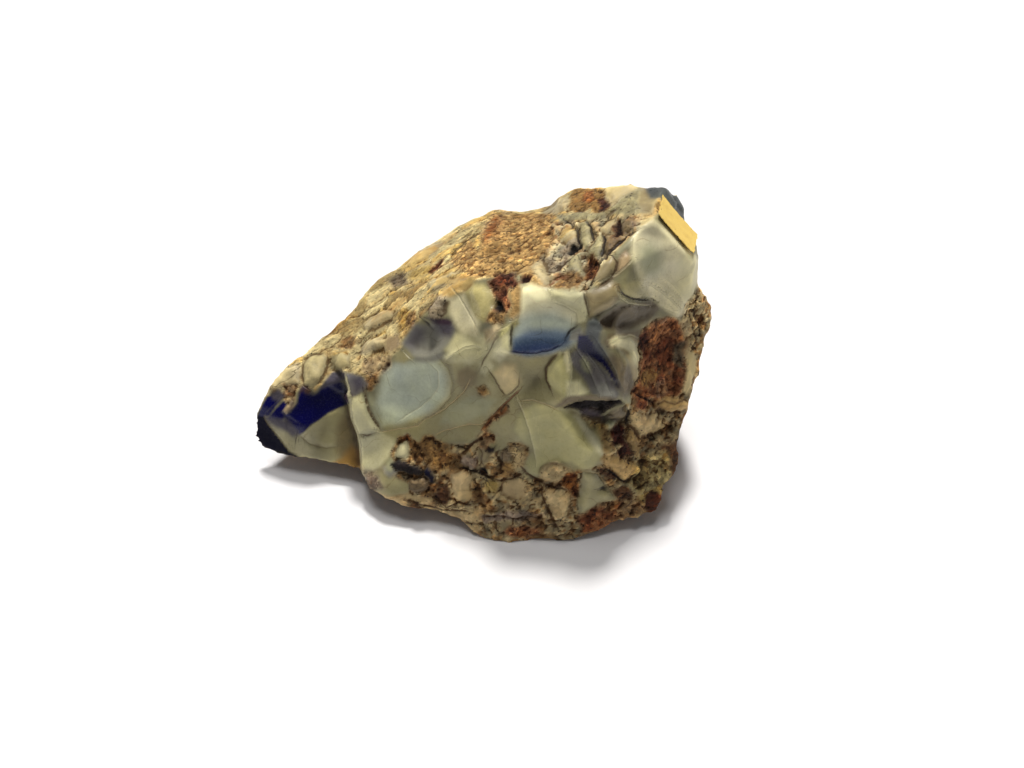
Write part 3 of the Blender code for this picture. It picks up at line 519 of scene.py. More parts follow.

# A crack is (tint, width in pixels, how deep it cuts in millimetres, how strongly it colours, how
# much brighter its right-hand side is painted and darker its left, as painted light and shade across
# the edge, its line).  One that cuts by less than 0 is a raised edge.
# Pale cracks that cut by less than 0, such as left_rim, oval_inner, column, the ripples and glint, are
# painted highlights along ridges.
CRACKS = {
    "lilac": ("mauve_grey", 1, 0, 0.25, 0, "282,393 276,402 270,409 264,416"),
    "left_rim": ("cream_pale", 1.4, -0.15, 0.9, 0,
        "345,374 349,386 352,398 351,405 353,420 358,432 361,445 362,470 366,488"),
    "strip": ("umber", 1, 0.15, 0.6, 0, "363,385 365,398 368,410 373,420 381,431"),
    "strip_foot": ("umber", 1, 0.12, 0.6, 0, "360,434 367,436 374,433"),
    "long_faint": ("umber_light", 0.9, 0.06, 0.6, 0,
        "380,432 398,429 418,426 425,420 440,412 452,403 463,393 470,380"),
    "low_faint": ("umber_light", 0.9, 0.06, 0.6, 0, "434,436 445,430 458,427 470,424 480,425 488,422"),
    "rusty": ("rust", 1.3, 0.12, 0.85, 0, "521,389 512,397 503,405 498,412 490,420 484,427"),
    "scar_top": ("black", 1.2, 0.15, 0.7, 0, "422,319 427,323 431,328"),
    "knob": ("umber", 1.1, 0.15, 0.6, 0, "425,313 429,307 434,301"),
    "rust_slot": ("umber", 2, 0.3, 0.8, 0, "505,256 511,253 518,252"),
    "grey_dip": ("black", 1.1, 0.2, 0.7, 0, "562,219 568,222 572,225 574,230 568,233"),
    "between_ab": ("black", 1.3, 0.3, 0.8, 0, "577,226 578,233 578,240 581,247"),
    "between_bc": ("black", 1.2, 0.25, 0.8, 0, "585,221 591,227 592,236 594,242"),
    "between_cd": ("black", 1.2, 0.25, 0.8, 0, "601,233 606,241 603,250 598,258"),
    "top_ef": ("umber", 1.1, 0.2, 0.7, 0, "606,216 612,211 618,208"),
    "long_black": ("black", 1.3, 0.35, 0.8, 0,
        "583,290 590,286 594,276 598,264 602,258 612,248 620,240 628,234 637,230"),
    "plates": ("umber", 1, 0.15, 0.55, 0.08, "604,254 612,255 617,263 615,273 607,282 599,287"),
    "ochre_edge": ("rust_dark", 1.6, 0.25, 0.8, 0, "547,285 553,281 560,277 567,276"),
    "bridge": ("black", 1.2, 0.2, 0.7, 0, "565,340 569,332 577,326"),
    "blue_left": ("black", 1.4, 0.2, 0.7, 0, "513,322 511,334 511,350"),
    "glass": ("black", 1.5, 0.3, 0.85, 0, "626,407 629,413 626,419 627,426"),
    "lump_right": ("black", 1.2, 0.2, 0.7, 0, "460,468 470,470 478,473 488,478 496,482"),
    "lump_top": ("umber", 1.3, 0.3, 0.8, 0, "459,457 466,450 474,442 484,438"),
    "lump_split": ("umber", 1, 0.15, 0.5, 0, "478,446 483,453 481,462 486,468"),
    "lump_split_right": ("umber", 1, 0.15, 0.5, 0, "499,448 496,455 501,464 510,468"),
    "deep": ("umber", 1.3, 0.25, 0.75, 0, "519,464 527,474 537,480 545,484 553,488 561,488 569,492"),
    "arc": ("umber", 1.1, 0.08, 0.3, 0, "538,474 541,467 548,463 555,462 564,465"),
    "cleft": ("umber", 1.2, 0.22, 0.65, 0, "541,484 542,495 548,510 554,522"),
    "triangle": ("black", 1.2, 0.25, 0.8, 0, "604,467 612,473 620,480 627,483 636,477"),
    "pocket": ("black", 2.4, 0.4, 0.9, 0, "630,480 635,477 639,476"),
    "mark": ("black", 1.8, 0.3, 0.85, 0, "597,488 603,488 608,491"),
    "bottom_left": ("umber", 1.2, 0.2, 0.7, 0, "545,505 552,520 560,532"),
    "seam_one": ("umber", 1.1, 0.2, 0.6, 0, "482,517 498,516 514,519 530,517 545,519"),
    "seam_two": ("umber", 1.1, 0.25, 0.7, 0, "404,500 424,506 446,511 470,512"),
    "seam_three": ("umber", 1.1, 0.25, 0.7, 0, "412,512 434,518 458,524 476,524"),
    "seam_four": ("umber", 1, 0.2, 0.7, 0, "430,495 446,508 458,503 472,506"),
    "block_foot": ("umber", 1, 0.15, 0.5, 0, "627,424 634,430 640,439 648,437 660,432"),
    "ochre_lump": ("umber", 1, 0.12, 0.5, 0, "625,428 626,440 631,451 638,457"),
    "granules": ("black", 1.4, 0.3, 0.7, 0, "634,392 640,396 650,401 656,404"),
    # Below, a crack whose fifth value is not 0 paints a facet edge as light and shade: one side brighter,
    # the other darker.
    "oval_left": ("opal_brown", 1.2, 0.1, 0.6, 0.14, "366,384 366,398 371,412 380,428"),
    "oval_right": ("opal_brown", 1.1, 0.08, 0.35, 0.2, "438,357 448,368 453,384 450,398 438,411 418,423"),
    "oval_inner": ("opal_white", 1.2, -0.03, 0.25, -0.1, "428,361 438,371 439,386 432,398 418,409 400,420"),
    "facet_rim": ("smooth_pale", 1.2, -0.05, 0.35, -0.22, "518,401 524,414 529,430 534,450 536,462"),
    "facet_top": ("umber_light", 0.9, 0.06, 0.5, 0.14, "518,401 532,400 545,404 558,410"),
    "edge_light": ("opal_pale", 1.3, -0.08, 0.4, -0.2, "444,362 454,354 464,348 474,346 484,349"),
    "warm": ("umber", 1.1, 0.12, 0.55, -0.14, "488,369 495,380 500,389 507,398"),
    "warm_right": ("umber", 1, 0.1, 0.5, -0.08, "505,397 512,392 519,386 520,376"),
    "yellow_facet": ("umber", 1.1, 0.15, 0.65, -0.15, "557,353 551,360 546,369 546,380 552,392"),
    "column": ("cream_pale", 1.2, -0.06, 0.5, 0.22, "568,350 571,362 571,376 569,390"),
    "striped_one": ("ash", 1.1, -0.05, 0.3, -0.3, "577,350 585,362 592,376 598,392"),
    "striped_two": ("ash", 1.1, -0.05, 0.3, 0.25, "586,353 596,366 604,378 610,392"),
    "streak_edge": ("slate", 1.1, 0.06, 0.2, -0.3, "594,336 601,347 608,358 616,372 621,386"),
    "wedge": ("umber", 1, 0.1, 0.5, -0.16, "500,334 494,342 489,352 484,360 480,368"),
    "wedge_edge": ("umber", 1.1, 0.15, 0.6, 0.18, "583,292 586,304 590,318"),
    "facet_left": ("cream_pale", 1.2, -0.04, 0.15, -0.07,
        "634,230 633,250 634,268 637,282 642,290 651,300 664,308 680,315"),
    "hook": ("black", 1.2, 0.2, 0.75, -0.15, "620,289 625,295 634,299 644,300 652,299 658,302"),
    "hook_inner": ("cream_pale", 1.1, -0.05, 0.4, -0.12, "616,291 620,298 628,303 638,305 650,306"),
    "shadow_top": ("slate_grey", 1.2, 0.08, 0.2, -0.22, "590,318 600,314 610,308 620,302"),
    "brow_edge": ("smooth_pale", 1.2, -0.05, 0.2, -0.12, "546,287 553,302 565,306 577,313 578,322"),
    "glow_left": ("smooth_pale", 1.2, -0.05, 0.3, 0.14, "450,286 459,296 466,308 474,322 480,334"),
    "pale_rise": ("smooth_pale", 1.2, -0.05, 0.3, -0.12, "482,352 486,342 494,334 506,327 518,318"),
    "blue_under": ("navy", 1.3, 0.15, 0.7, -0.1, "511,351 522,353 536,353 550,350 562,344"),
    "ripple_one": ("cream_pale", 1.3, -0.03, 0.3, 0.14, "636,281 652,285 667,296 679,308"),
    "ripple_two": ("cream_pale", 1.2, -0.02, 0.22, 0.1, "646,279 662,286 675,298 685,309"),
    "ripple_three": ("cream_pale", 1.1, -0.02, 0.2, 0.08, "664,276 675,286 686,300"),
    "grey_green": ("umber_light", 1.1, 0.1, 0.3, 0.15, "616,498 607,486 598,474 582,471"),
    "olive_fold": ("opal_brown", 1.2, 0.1, 0.3, -0.14, "298,434 310,444 326,448 340,446"),
    "end_edge": ("opal_brown", 1.1, -0.05, 0.5, -0.1, "264,416 268,424 275,432 282,441 289,451"),
    "navy_mark": ("black", 1, 0.06, 0.5, 0, "298,432 296,440 295,446"),
    "block_left": ("umber", 1, 0.12, 0.55, 0, "303,366 302,376 304,386 311,391"),
    "block_right_edge": ("umber", 1, 0.12, 0.55, 0.12, "327,354 328,364 324,374 318,385"),
    "block_above": ("umber", 1, 0.1, 0.5, 0.1, "303,360 311,354 322,353"),
    "low_edge": ("umber", 1.1, 0.1, 0.5, 0, "290,456 308,463 330,468 350,473 362,478"),
    "wedge_light": ("cream_pale", 1.3, -0.05, 0.4, -0.12, "610,343 619,338 630,335 638,338"),
    "olive_edge": ("cream_pale", 1.3, -0.05, 0.3, -0.15, "628,348 633,358 636,370 637,382"),
    "plate_rim": ("cream_pale", 1.2, -0.06, 0.4, -0.12, "590,287 604,280 616,275 626,266 634,257"),
    "arc_right": ("umber", 1.1, 0.1, 0.4, 0, "571,468 577,476 579,486"),
    "lump_foot": ("umber", 1.2, 0.2, 0.7, 0, "479,470 488,477 501,481 513,479 524,473"),
    "lump_drop": ("umber", 1.1, 0.15, 0.6, 0, "504,481 500,491 493,496"),
    # Painted highlight: a glint on an edge.
    "glint": ("opal_white", 0.9, -0.03, 0.8, 0, "404,352 408,356 412,360"),
    "lump_crown": ("pink_tan", 1, -0.04, 0.5, -0.12, "541,474 545,467 551,464 557,463 563,467"),
    "lumps_one": ("umber", 1.1, 0.15, 0.55, 0, "655,406 664,401 674,404 684,400 691,404"),
    "lumps_two": ("umber", 1.1, 0.15, 0.55, 0, "650,414 660,411 672,413 684,412"),
}

# ---- The far side, as balls in millimetres: tint, middle, radius, softness -----------------------
FAR_PATCHES = {
    "back_left_opal": ("opal_grey", (-16, 14, 9), 11.0, 1.2),
    "back_left_navy": ("navy_deep", (-27, 3, 8), 5.0, 1.4),
    "back_left_haze": ("slate", (-22, 8, 6), 4.5, 1.5),
    "back_middle_opal": ("slate_pale", (1, 25, 11), 9.0, 1.0),
    "back_middle_rim": ("opal_grey", (4, 25, 16), 4.5, 1.2),
    "back_right_opal": ("opal_green", (22, 20, 19), 10.5, 1.2),
    "back_right_blue": ("slate", (27, 17, 24), 4.5, 1.8),
    "back_right_pale": ("opal_yellow", (18, 21, 22), 4.5, 1.5),
    "side_opal": ("opal_brown", (36, 3, 14), 7.0, 1.2),
    "side_grey": ("slate_grey", (35, 8, 17), 3.5, 1.4),
    "low_back_opal": ("opal_olive", (19, 18, 7), 6.5, 1.2),
    "low_left_rust": ("rust_dark", (-8, 18, 4), 5.5, 1.4),
    "rib_rust": ("rust_dark", (11, 23, 12), 4.0, 1.2),
    "shoulder_rust": ("rust", (31, 12, 27), 5.0, 1.6),
    "side_rust": ("maroon", (33, -6, 8), 5.0, 1.6),
    "tip_black": ("near_black", (-35, -8, 6), 5.0, 1.2),
}
# A layer over the whole stone: its tint, what it weighs of facing upward, of the coarse noise and of
# the fine, between which sums it fades in, and its strength.
FAR_LAYERS = (
    ("crust_cream", (1.0, 0.3, 0.0), (0.10, 0.60), 1.0),
    ("rust_tan", (0.0, 1.0, 0.4), (0.25, 0.55), 1.0),
    ("umber_light", (0.0, -1.0, 0.4), (0.35, 0.60), 1.0),
    ("rust_dark", (0.0, 0.4, 1.0), (0.55, 0.80), 0.8))
UNDERSIDE = ("leather", (1.0, 0.0, 0.2), (-0.55, -0.85), 1.0)
FAR_CHIP = 0.05             # the least height of the far side's chips and flakes
FAR_EDGE = (2.2, 1.2)       # how far the balls' edges wander, broadly and finely
FAR_NOISE = ((9.0, 20), (3.0, 30), (0.9, 35))          # size, seed


# ---- Numbers and noise ---------------------------------------------------------------------------
HASH_PRIMES = (374761393, 668265263, 1440662683, 974634777)
HASH_ROUNDS = ((13, 1274126177), (16, 1911520717))     # shift, multiplier
HASH_WORD, HASH_LOW = 0xFFFFFFFF, 0xFFFFFF
CHIP_BEND, FLAKE_BEND = (0.35, 0.8), (0.3, 0.9)        # how far noise bends their edges, its size
CHIP_TURNS, FLAKE_TURNS = 7, 5     # a cell's id of 0 to 1 turns its lean round this often


def smoothstep(low, high, value):
    share = np.clip((value - low) / (high - low), 0.0, 1.0)
    return share * share * (3.0 - 2.0 * share)


def distance_from(points, place):
    return np.linalg.norm(points - place, axis=1)


def scramble(cell, seed):
    """A repeatable number from 0 to 1 for each whole-number cell."""
    whole = [cell[..., axis].astype(np.int64) for axis in range(3)] + [seed]
    mixed = sum(part * prime for part, prime in zip(whole, HASH_PRIMES)) & HASH_WORD
    for shift, multiplier in HASH_ROUNDS:
        mixed = ((mixed ^ (mixed >> shift)) * multiplier) & HASH_WORD
    return ((mixed ^ (mixed >> 15)) & HASH_LOW) / HASH_LOW


def noise(points, size, seed):
    """Smooth noise from -1 to 1 with features of about this size."""
    place = points / size
    corner = np.floor(place)
    part = smoothstep(0.0, 1.0, place - corner)
    total = np.zeros(len(points))
    for index in range(8):
        step = np.array([index & 1, (index >> 1) & 1, (index >> 2) & 1])
        share = np.prod(np.where(step == 1, part, 1.0 - part), axis=1)
        total += share * scramble(corner + step, seed)
    return total * 2.0 - 1.0


def layered_noise(points, size, seed, layers=3):
    total = np.zeros(len(points))
    for layer in range(layers):
        total += noise(points, size / 2 ** layer, seed + layer) / 2 ** layer
    return total


def split_into_cells(points, size, seed):
    """Voronoi cells: distance to the nearest border, an id from 0 to 1, offset from the middle."""
    place = points / size
    corner = np.floor(place)
    nearest = np.full(len(points), 9.0)
    second = np.full(len(points), 9.0)
    label = np.zeros(len(points))
    offset = np.zeros((len(points), 3))
    for index in range(27):
        cell = corner + np.array([index % 3, index // 3 % 3, index // 9]) - 1
        middle = cell + np.stack([scramble(cell, seed + axis) for axis in range(3)], axis=1)
        gap = place - middle
        distance = np.linalg.norm(gap, axis=1)
        closer = distance < nearest
        second = np.where(closer, nearest, np.minimum(second, distance))
        label = np.where(closer, scramble(cell, seed + 3), label)
        offset = np.where(closer[:, None], gap, offset)
        nearest = np.where(closer, distance, nearest)
    return (second - nearest) * size, label, offset * size


def bent_cells(points, size, seed, reach, bend):
    """Cells of points that noise pushes about; reach and bend are shares of the cells' size."""
    push = np.stack([noise(points, size * bend, seed + 10 + axis) for axis in range(3)], axis=1)
    return split_into_cells(points + size * reach * push, size, seed)


def tilted_chips(points, size, seed):
    """Height of flat chips, each tilted its own way and parted by a crease, and their ids."""
    border, label, offset = bent_cells(points, size, seed, *CHIP_BEND)
    turn = label * 2 * math.pi * CHIP_TURNS
    lean = np.stack([np.cos(turn), np.sin(turn), np.cos(turn * 1.7)], axis=1)
    plane = (offset * lean).sum(axis=1) / size
    crease = 1.0 - smoothstep(0.0, size * 0.10, border)
    return np.clip(plane * 1.6 + (label - 0.5) * 0.8, -1, 1) - crease * 0.25, label


def flake_dishes(points, size, seed):
    """Height from -1 to 1 of shallow dishes that meet in sharp ridges, as knapped flakes leave."""
    _, label, offset = bent_cells(points, size, seed, *FLAKE_BEND)
    depth = (np.linalg.norm(offset, axis=1) / size) ** 2
    turn = label * 2 * math.pi * FLAKE_TURNS
    lean = np.stack([np.cos(turn), np.sin(turn), np.sin(turn * 1.3)], axis=1)
    return np.clip(1.6 * depth - 0.5 + 0.7 * (offset * lean).sum(axis=1) / size, -1, 1)


def weigh(weights, fields):
    """The sum of some fields, each times its weight."""
    return sum(weight * field for weight, field in zip(weights, fields))


def linear(colour):
    """An sRGB colour of 0 to 255 as linear light."""
    share = np.array(colour) / 255.0
    return np.where(share <= 0.04045, share / 12.92, ((share + 0.055) / 1.055) ** 2.4)


# ---- Distances in the frame ----------------------------------------------------------------------
def to_pixels(points):
    """Where the station sees each point, in pixels of the frame."""
    ray = points - STATION
    depth = ray @ SIGHT_FORWARD
    across = FRAME_WIDTH / 2 + FOCAL_PIXELS * (ray @ SIGHT_RIGHT) / depth
    down = FRAME_HEIGHT / 2 - FOCAL_PIXELS * (ray @ SIGHT_UP) / depth
    return np.stack([across, down], axis=1)


def read_path(path):
    """The points of a path such as "250,400 240,330"."""
    return [tuple(map(int, pair.split(","))) for pair in path.split()]


def along_line(pixels, line):
    """Distance to a line of points, and the side of it that each pixel lies on (-1 or 1)."""
    best = np.full(len(pixels), 1e9)
    side = np.ones(len(pixels))
    for (x0, y0), (x1, y1) in zip(line, line[1:]):
        run = np.array([x1 - x0, y1 - y0], float)
        gap = pixels - np.array([x0, y0])
        share = np.clip(gap @ run / (run @ run), 0, 1)
        distance = np.linalg.norm(gap - share[:, None] * run, axis=1)
        closer = distance < best
        side = np.where(closer, np.sign(run[0] * gap[:, 1] - run[1] * gap[:, 0]), side)
        best = np.where(closer, distance, best)
    return best, side


def inside_depth(pixels, outline):
    """Distance to an outline, positive inside it."""
    distance, _ = along_line(pixels, outline + outline[:1])
    x, y = pixels.T
    crossings = np.zeros(len(pixels), int)
    for (x0, y0), (x1, y1) in zip(outline, outline[1:] + outline[:1]):
        if y0 != y1:
            spans = (y0 > y) != (y1 > y)
            crossings += spans & (x0 + (x1 - x0) * (y - y0) / (y1 - y0) > x)
    return np.where(crossings % 2 == 1, distance, -distance)


def near_box(pixels, points, margin):
    """Indices of the pixels within a margin of the box of some points."""
    low = np.min(points, axis=0) - margin
    high = np.max(points, axis=0) + margin
    return np.flatnonzero(((pixels >= low) & (pixels <= high)).all(axis=1))


def beside_path(pixels, path, reach):
    """1 on a path, falling to 0 beside it."""
    line = read_path(path)
    near = near_box(pixels, line, reach * 3)
    distance, _ = along_line(pixels[near], line)
    share = np.zeros(len(pixels))
    share[near] = np.exp(-(distance / reach) ** 2)
    return share


# ---- The stone's mesh ----------------------------------------------------------------------------
VOXEL = 0.36                # edge of a remeshed square
FACING_START, FACING_FULL = -0.16, 0.02    # where the near side's zones fade in
MELT_ROUNDS = 45            # smoothing of the CAD facets
MELT_STEP = 0.5
MELT_BACK = -0.51           # swells the stone again after each smoothing step
RIDGE_REACH = 5.0           # pixels each side of a kept ridge that hold their shape
RIM_REACH = 4.0             # the same for the rim
HOLD = 0.93                 # how firmly they hold it
REST_BAND = (1.2, 0.3)      # from the first height down to the second, the flat rest is kept
TIP = np.array([-36.45, -9.25, 5.0])       # the left tip, which remeshing and melting blunt
TIP_SOFT, TIP_ROUNDS = 2.5, 14     # how far round it, and how often, the tip is smoothed first
TIP_REACH = 7.0             # how far from it the stone is drawn out


class Surface:
    """Vertices, squares and edges of the fine mesh, in millimetres."""

    def __init__(self, mesh):
        self.points = read_vectors(mesh.vertices, "co") / MM
        self.edges = np.zeros(len(mesh.edges) * 2, np.int64)
        mesh.edges.foreach_get("vertices", self.edges)
        self.edges = self.edges.reshape(-1, 2)
        self.squares = np.zeros(len(mesh.loops), np.int64)
        mesh.loops.foreach_get("vertex_index", self.squares)
        self.squares = self.squares.reshape(-1, 4)
        self.neighbours = np.bincount(self.edges.ravel(), minlength=len(self.points))

    def average(self, values):
        """Mean of each vertex's neighbours."""
        first, second = self.edges.T
        columns = values.reshape(len(values), -1)
        total = np.stack([
            np.bincount(first, column[second], len(values))
            + np.bincount(second, column[first], len(values)) for column in columns.T], axis=1)
        return (total / self.neighbours[:, None]).reshape(values.shape)

    def smoothed(self, values, rounds):
        for _ in range(rounds):
            values = values + 0.5 * (self.average(values) - values)
        return values

    def soften(self, share):
        """Moves each vertex towards the mean of its neighbours by its share of the way."""
        self.points = self.points + share * (self.average(self.points) - self.points)

    def normals(self):
        first, second, third, fourth = (self.points[self.squares[:, corner]] for corner in range(4))
        across = np.cross(third - first, fourth - second)
        total = np.stack([
            sum(np.bincount(self.squares[:, corner], across[:, axis], len(self.points))
                for corner in range(4)) for axis in range(3)], axis=1)
        return total / np.maximum(np.linalg.norm(total, axis=1), 1e-9)[:, None]

    def facing(self):
        """1 where the surface faces the station, falling to 0 just round its silhouette."""
        ray = STATION - self.points
        ray /= np.linalg.norm(ray, axis=1)[:, None]
        normals = self.smoothed(self.normals(), 4)
        return smoothstep(FACING_START, FACING_FULL, (normals * ray).sum(axis=1))


def read_vectors(collection, name):
    flat = np.zeros(len(collection) * 3, np.float32)
    collection.foreach_get(name, flat)
    return flat.reshape(-1, 3).astype(float)


def add_object(name, data):
    thing = bpy.data.objects.new(name, data)
    bpy.context.scene.collection.objects.link(thing)
    return thing


def fine_copy(node):
    """The CAD node as a new mesh of even squares."""
    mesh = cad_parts[node].data.copy()
    shell = bmesh.new()
    shell.from_mesh(mesh)
    bmesh.ops.remove_doubles(shell, verts=shell.verts, dist=1e-6)
    shell.to_mesh(mesh)
    shell.free()
    coarse = add_object("coarse_stone", mesh)
    remesh = coarse.modifiers.new("Remesh", "REMESH")
    remesh.mode = "VOXEL"
    remesh.voxel_size = VOXEL * MM
    evaluated = coarse.evaluated_get(bpy.context.evaluated_depsgraph_get())
    fine = bpy.data.meshes.new_from_object(evaluated)
    bpy.data.objects.remove(coarse)
    drop_crumbs(fine)
    return fine


def drop_crumbs(mesh):
    """Removes the specks that remeshing leaves beside thin edges."""
    shell = bmesh.new()
    shell.from_mesh(mesh)
    body = {max(shell.verts, key=lambda vertex: vertex.co.z)}
    front = list(body)
    while front:
        vertex = front.pop()
        fresh = {edge.other_vert(vertex) for edge in vertex.link_edges} - body
        body |= fresh
        front.extend(fresh)
    crumbs = [vertex for vertex in shell.verts if vertex not in body]
    bmesh.ops.delete(shell, geom=crumbs, context="VERTS")
    shell.to_mesh(mesh)
    shell.free()


def kept_shape(surface):
    """1 where the CAD shape is real, on the near side's ridges and along the rim, else 0."""
    pixels = to_pixels(surface.points)
    ridges = [beside_path(pixels, ridge, RIDGE_REACH) for ridge in RIDGES.values()]
    rim = beside_path(pixels, RIM, RIM_REACH)
    return np.maximum(np.max(ridges, axis=0) * surface.facing(), rim)


def melt(surface):
    """Rounds the CAD facets off, and keeps the real ridges, the left tip and the flat rest."""
    free = (1.0 - HOLD * kept_shape(surface))[:, None]
    height = surface.points[:, 2].copy()
    for _ in range(MELT_ROUNDS):
        for step in (MELT_STEP, MELT_BACK):
            surface.soften(step * free)
    surface.points = surface.smoothed(surface.points, 2)
    draw_out_tip(surface)
    resting = smoothstep(*REST_BAND, height)
    surface.points[:, 2] += resting * (height - surface.points[:, 2])


def draw_out_tip(surface):
    """Smooths the left tip, and then moves it and what is near it until it ends where it should."""
    beside = np.exp(-(distance_from(surface.points, TIP) / TIP_SOFT) ** 2)[:, None]
    for _ in range(TIP_ROUNDS):
        surface.soften(0.5 * beside)
    blunt = surface.points[distance_from(surface.points, TIP).argmin()]
    share = np.clip(1.0 - distance_from(surface.points, blunt) / TIP_REACH, 0, 1) ** 1.6
    surface.points = surface.points + share[:, None] * (TIP - blunt)


# ---- Painting ------------------------------------------------------------------------------------
WOBBLE = 0.9                # pixels that the zones' edges wander
WOBBLE_NOISE = ((0.7, 1.8, 1), (0.5, 0.9, 2))          # weight, size, seed
RAGGED = 4.5                # the same for the edges of granular tints
RAGGED_GRAIN = 0.03         # a tint with more grain than this is granular
ZONE_LEAN = 0.8             # how much higher than its middle a zone's high side stands
CRACK_SPAN = 8.0            # pixels that the signed distance to a crack is kept for
CRACK_TAPER, CRACK_END = 6.0, 0.3  # pixels from its ends to full strength, and its strength there
CRACK_WOBBLE = 0.63         # pixels that a crack wanders
CHIP, STREAKY = 1, 3        # columns of the coat's finish, which is grain, chips, roughness, streaks
# What the station sees of each vertex: its pixel, how far noise moves an edge there (about -1 to 1),
# and how much the vertex faces the station.
Sight = namedtuple("Sight", "pixels wander near")


class Coat:
    """What the vertices wear: colour, finish (grain, chips, roughness, streaks), relief and cracks."""

    def __init__(self, count):
        self.colour = np.zeros((count, 3))
        self.finish = np.zeros((count, 4))
        self.relief = np.zeros(count)
        self.chip_height = np.zeros(count)
        self.crack_side = np.full(count, CRACK_SPAN)
        self.crack_force = np.zeros(count)
        self.crack_painted_light = np.zeros(count)
        self.crack_colour = np.zeros((count, 3))

    def lay(self, tint, where, share):
        """Covers some vertices with a tint by a share from 0 to 1."""
        seen, *finish = PALETTE[tint] + (float(tint in STREAKY_TINTS),)
        share = share[:, None]
        self.colour[where] += share * (linear(seen) * PAINT_GAIN - self.colour[where])
        self.finish[where] += share * (np.array(finish) - self.finish[where])

    def swing(self, amount, tint=1.0):
        """Brightens each vertex by its amount, or darkens it where that is below 0."""
        self.colour *= 1.0 + amount[:, None] * tint

    def stain(self, share, factor):
        """Multiplies the colour by a factor, by each vertex's share."""
        self.swing(share, factor - 1.0)


def paint_far_side(coat, surface):
    """Crust and rust by noise, paler cream crust mostly where it faces up, opal where the far flake scars
    are, and a darker brown underside where it faces down.
    """
    points = surface.points
    every = np.arange(len(points))
    coarse, fine, ragged = (
        layered_noise(points, size, SEED + seed) for size, seed in FAR_NOISE)
    fields = surface.normals()[:, 2], coarse, fine

    def lay(tint, weights, band, strength):
        coat.lay(tint, every, smoothstep(*band, weigh(weights, fields)) * strength)

    coat.lay("crust_tan", every, np.ones(len(points)))
    for layer in FAR_LAYERS:
        lay(*layer)
    for tint, middle, radius, softness in FAR_PATCHES.values():
        depth = radius - distance_from(points, np.array(middle))
        depth = depth + FAR_EDGE[0] * fine + FAR_EDGE[1] * ragged
        coat.lay(tint, every, smoothstep(-softness, softness, depth))
    coat.finish[:, CHIP] = np.maximum(coat.finish[:, CHIP], FAR_CHIP)
    lay(*UNDERSIDE)


def paint_near_side(coat, surface):
    """The zones in their order, and then the cracks."""
    points = surface.points
    wander = sum(weight * noise(points, size, SEED + seed) for weight, size, seed in WOBBLE_NOISE)
    sight = Sight(to_pixels(points), wander, surface.facing())
    zones = [zone for group in ZONE_GROUPS for zone in group.values()]
    for number, zone in enumerate(zones, start=1):
        paint_zone(coat, sight, zone, number)
    for crack in CRACKS.values():
        cut_crack(coat, sight, crack)


def paint_zone(coat, sight, zone, number):
    """Paints one zone, and raises it if it has a height."""
    tint, softness, path, *raised = zone
    outline = read_path(path)
    where = near_box(sight.pixels, outline, softness + RAGGED + 1)
    pixels, wander, near = (values[where] for values in sight)
    reach = RAGGED if PALETTE[tint][1] > RAGGED_GRAIN else WOBBLE
    depth = inside_depth(pixels, outline) + wander * reach
    coat.lay(tint, where, smoothstep(-softness, softness, depth) * near)
    if raised:
        height, shoulder = raised
        rise = height * zone_lean(pixels, outline, number) * smoothstep(0, shoulder, depth)
        coat.relief[where] += rise * near


def zone_lean(pixels, outline, number):
    """A slope across a zone, about 1 at its middle; its number decides which way it leans."""
    turn = scramble(np.array([number, 0, 0]), SEED) * 2 * math.pi
    way = np.array([math.cos(turn), math.sin(turn)])
    span = np.ptp(outline, axis=0).mean()
    return 1.0 + ZONE_LEAN * ((pixels - np.mean(outline, axis=0)) @ way / span)


def cut_crack(coat, sight, crack):
    """Cuts one crack, and keeps its signed distance and its step of painted light and shade for the
    material where it is the nearest.
    """
    tint, width, depth, strength, step, path = crack
    line = read_path(path)
    where = near_box(sight.pixels, line, CRACK_SPAN)
    pixels, wander, near = (values[where] for values in sight)
    distance, side = along_line(pixels + CRACK_WOBBLE * wander[:, None], line)
    ends = np.minimum(*(distance_from(pixels, np.array(end)) for end in (line[0], line[-1])))
    share = near * (CRACK_END + (1.0 - CRACK_END) * smoothstep(0.0, CRACK_TAPER, ends))
    coat.relief[where] -= depth * np.exp(-(distance / (width + 1.0)) ** 2) * share
    force = strength * smoothstep(CRACK_SPAN * 0.6, CRACK_SPAN * 0.3, distance) * share
    nearer = distance / width < np.abs(coat.crack_side[where])
    chosen = where[nearer]
    coat.crack_side[chosen] = (distance * side / width)[nearer]
    coat.crack_force[chosen] = force[nearer]
    coat.crack_painted_light[chosen] = step * share[nearer]
    coat.crack_colour[chosen] = linear(PALETTE[tint][0])


# ---- Tones of the crust's chips, plates and stains -----------------------------------------------
CRUSTY_GRAIN = (0.01, 0.04) # between these heights of grain, glass turns into crust,
RUSTY_GRAIN = (0.08, 0.10)  # and crust into rust
BROKEN_CHIP = (0.06, 0.24)  # between these heights of its chips, crust turns into rubble
STREAK_WAY = np.array([0.78, 0.25, 0.57])      # the crust is streaked this way
STREAK_DRAW = 0.65
STREAK_SQUEEZE = np.eye(3) - STREAK_DRAW * np.outer(STREAK_WAY, STREAK_WAY)
CHIP_LAYERS = ((2.6, 1.0, 60), (1.3, 0.5, 65))      # size, weight, seed
ROUND_CHIP = 0.6            # size of the rust's round chips against the crust's drawn-out ones
TONE_SPREAD = np.array([9999, 777, 55])        # turns a chip's id into a cell for its tone
CRUST_SWING, RUBBLE_SWING = 0.15, 0.45     # how much the chips' brightness differs
BROWN_CHIP, BROWN_TONES = np.array([0.58, 0.44, 0.32]), (0.80, 0.84)   # factor, and which chips
GREY_CHIP, GREY_TONES = np.array([0.78, 0.80, 0.84]), (0.20, 0.16)
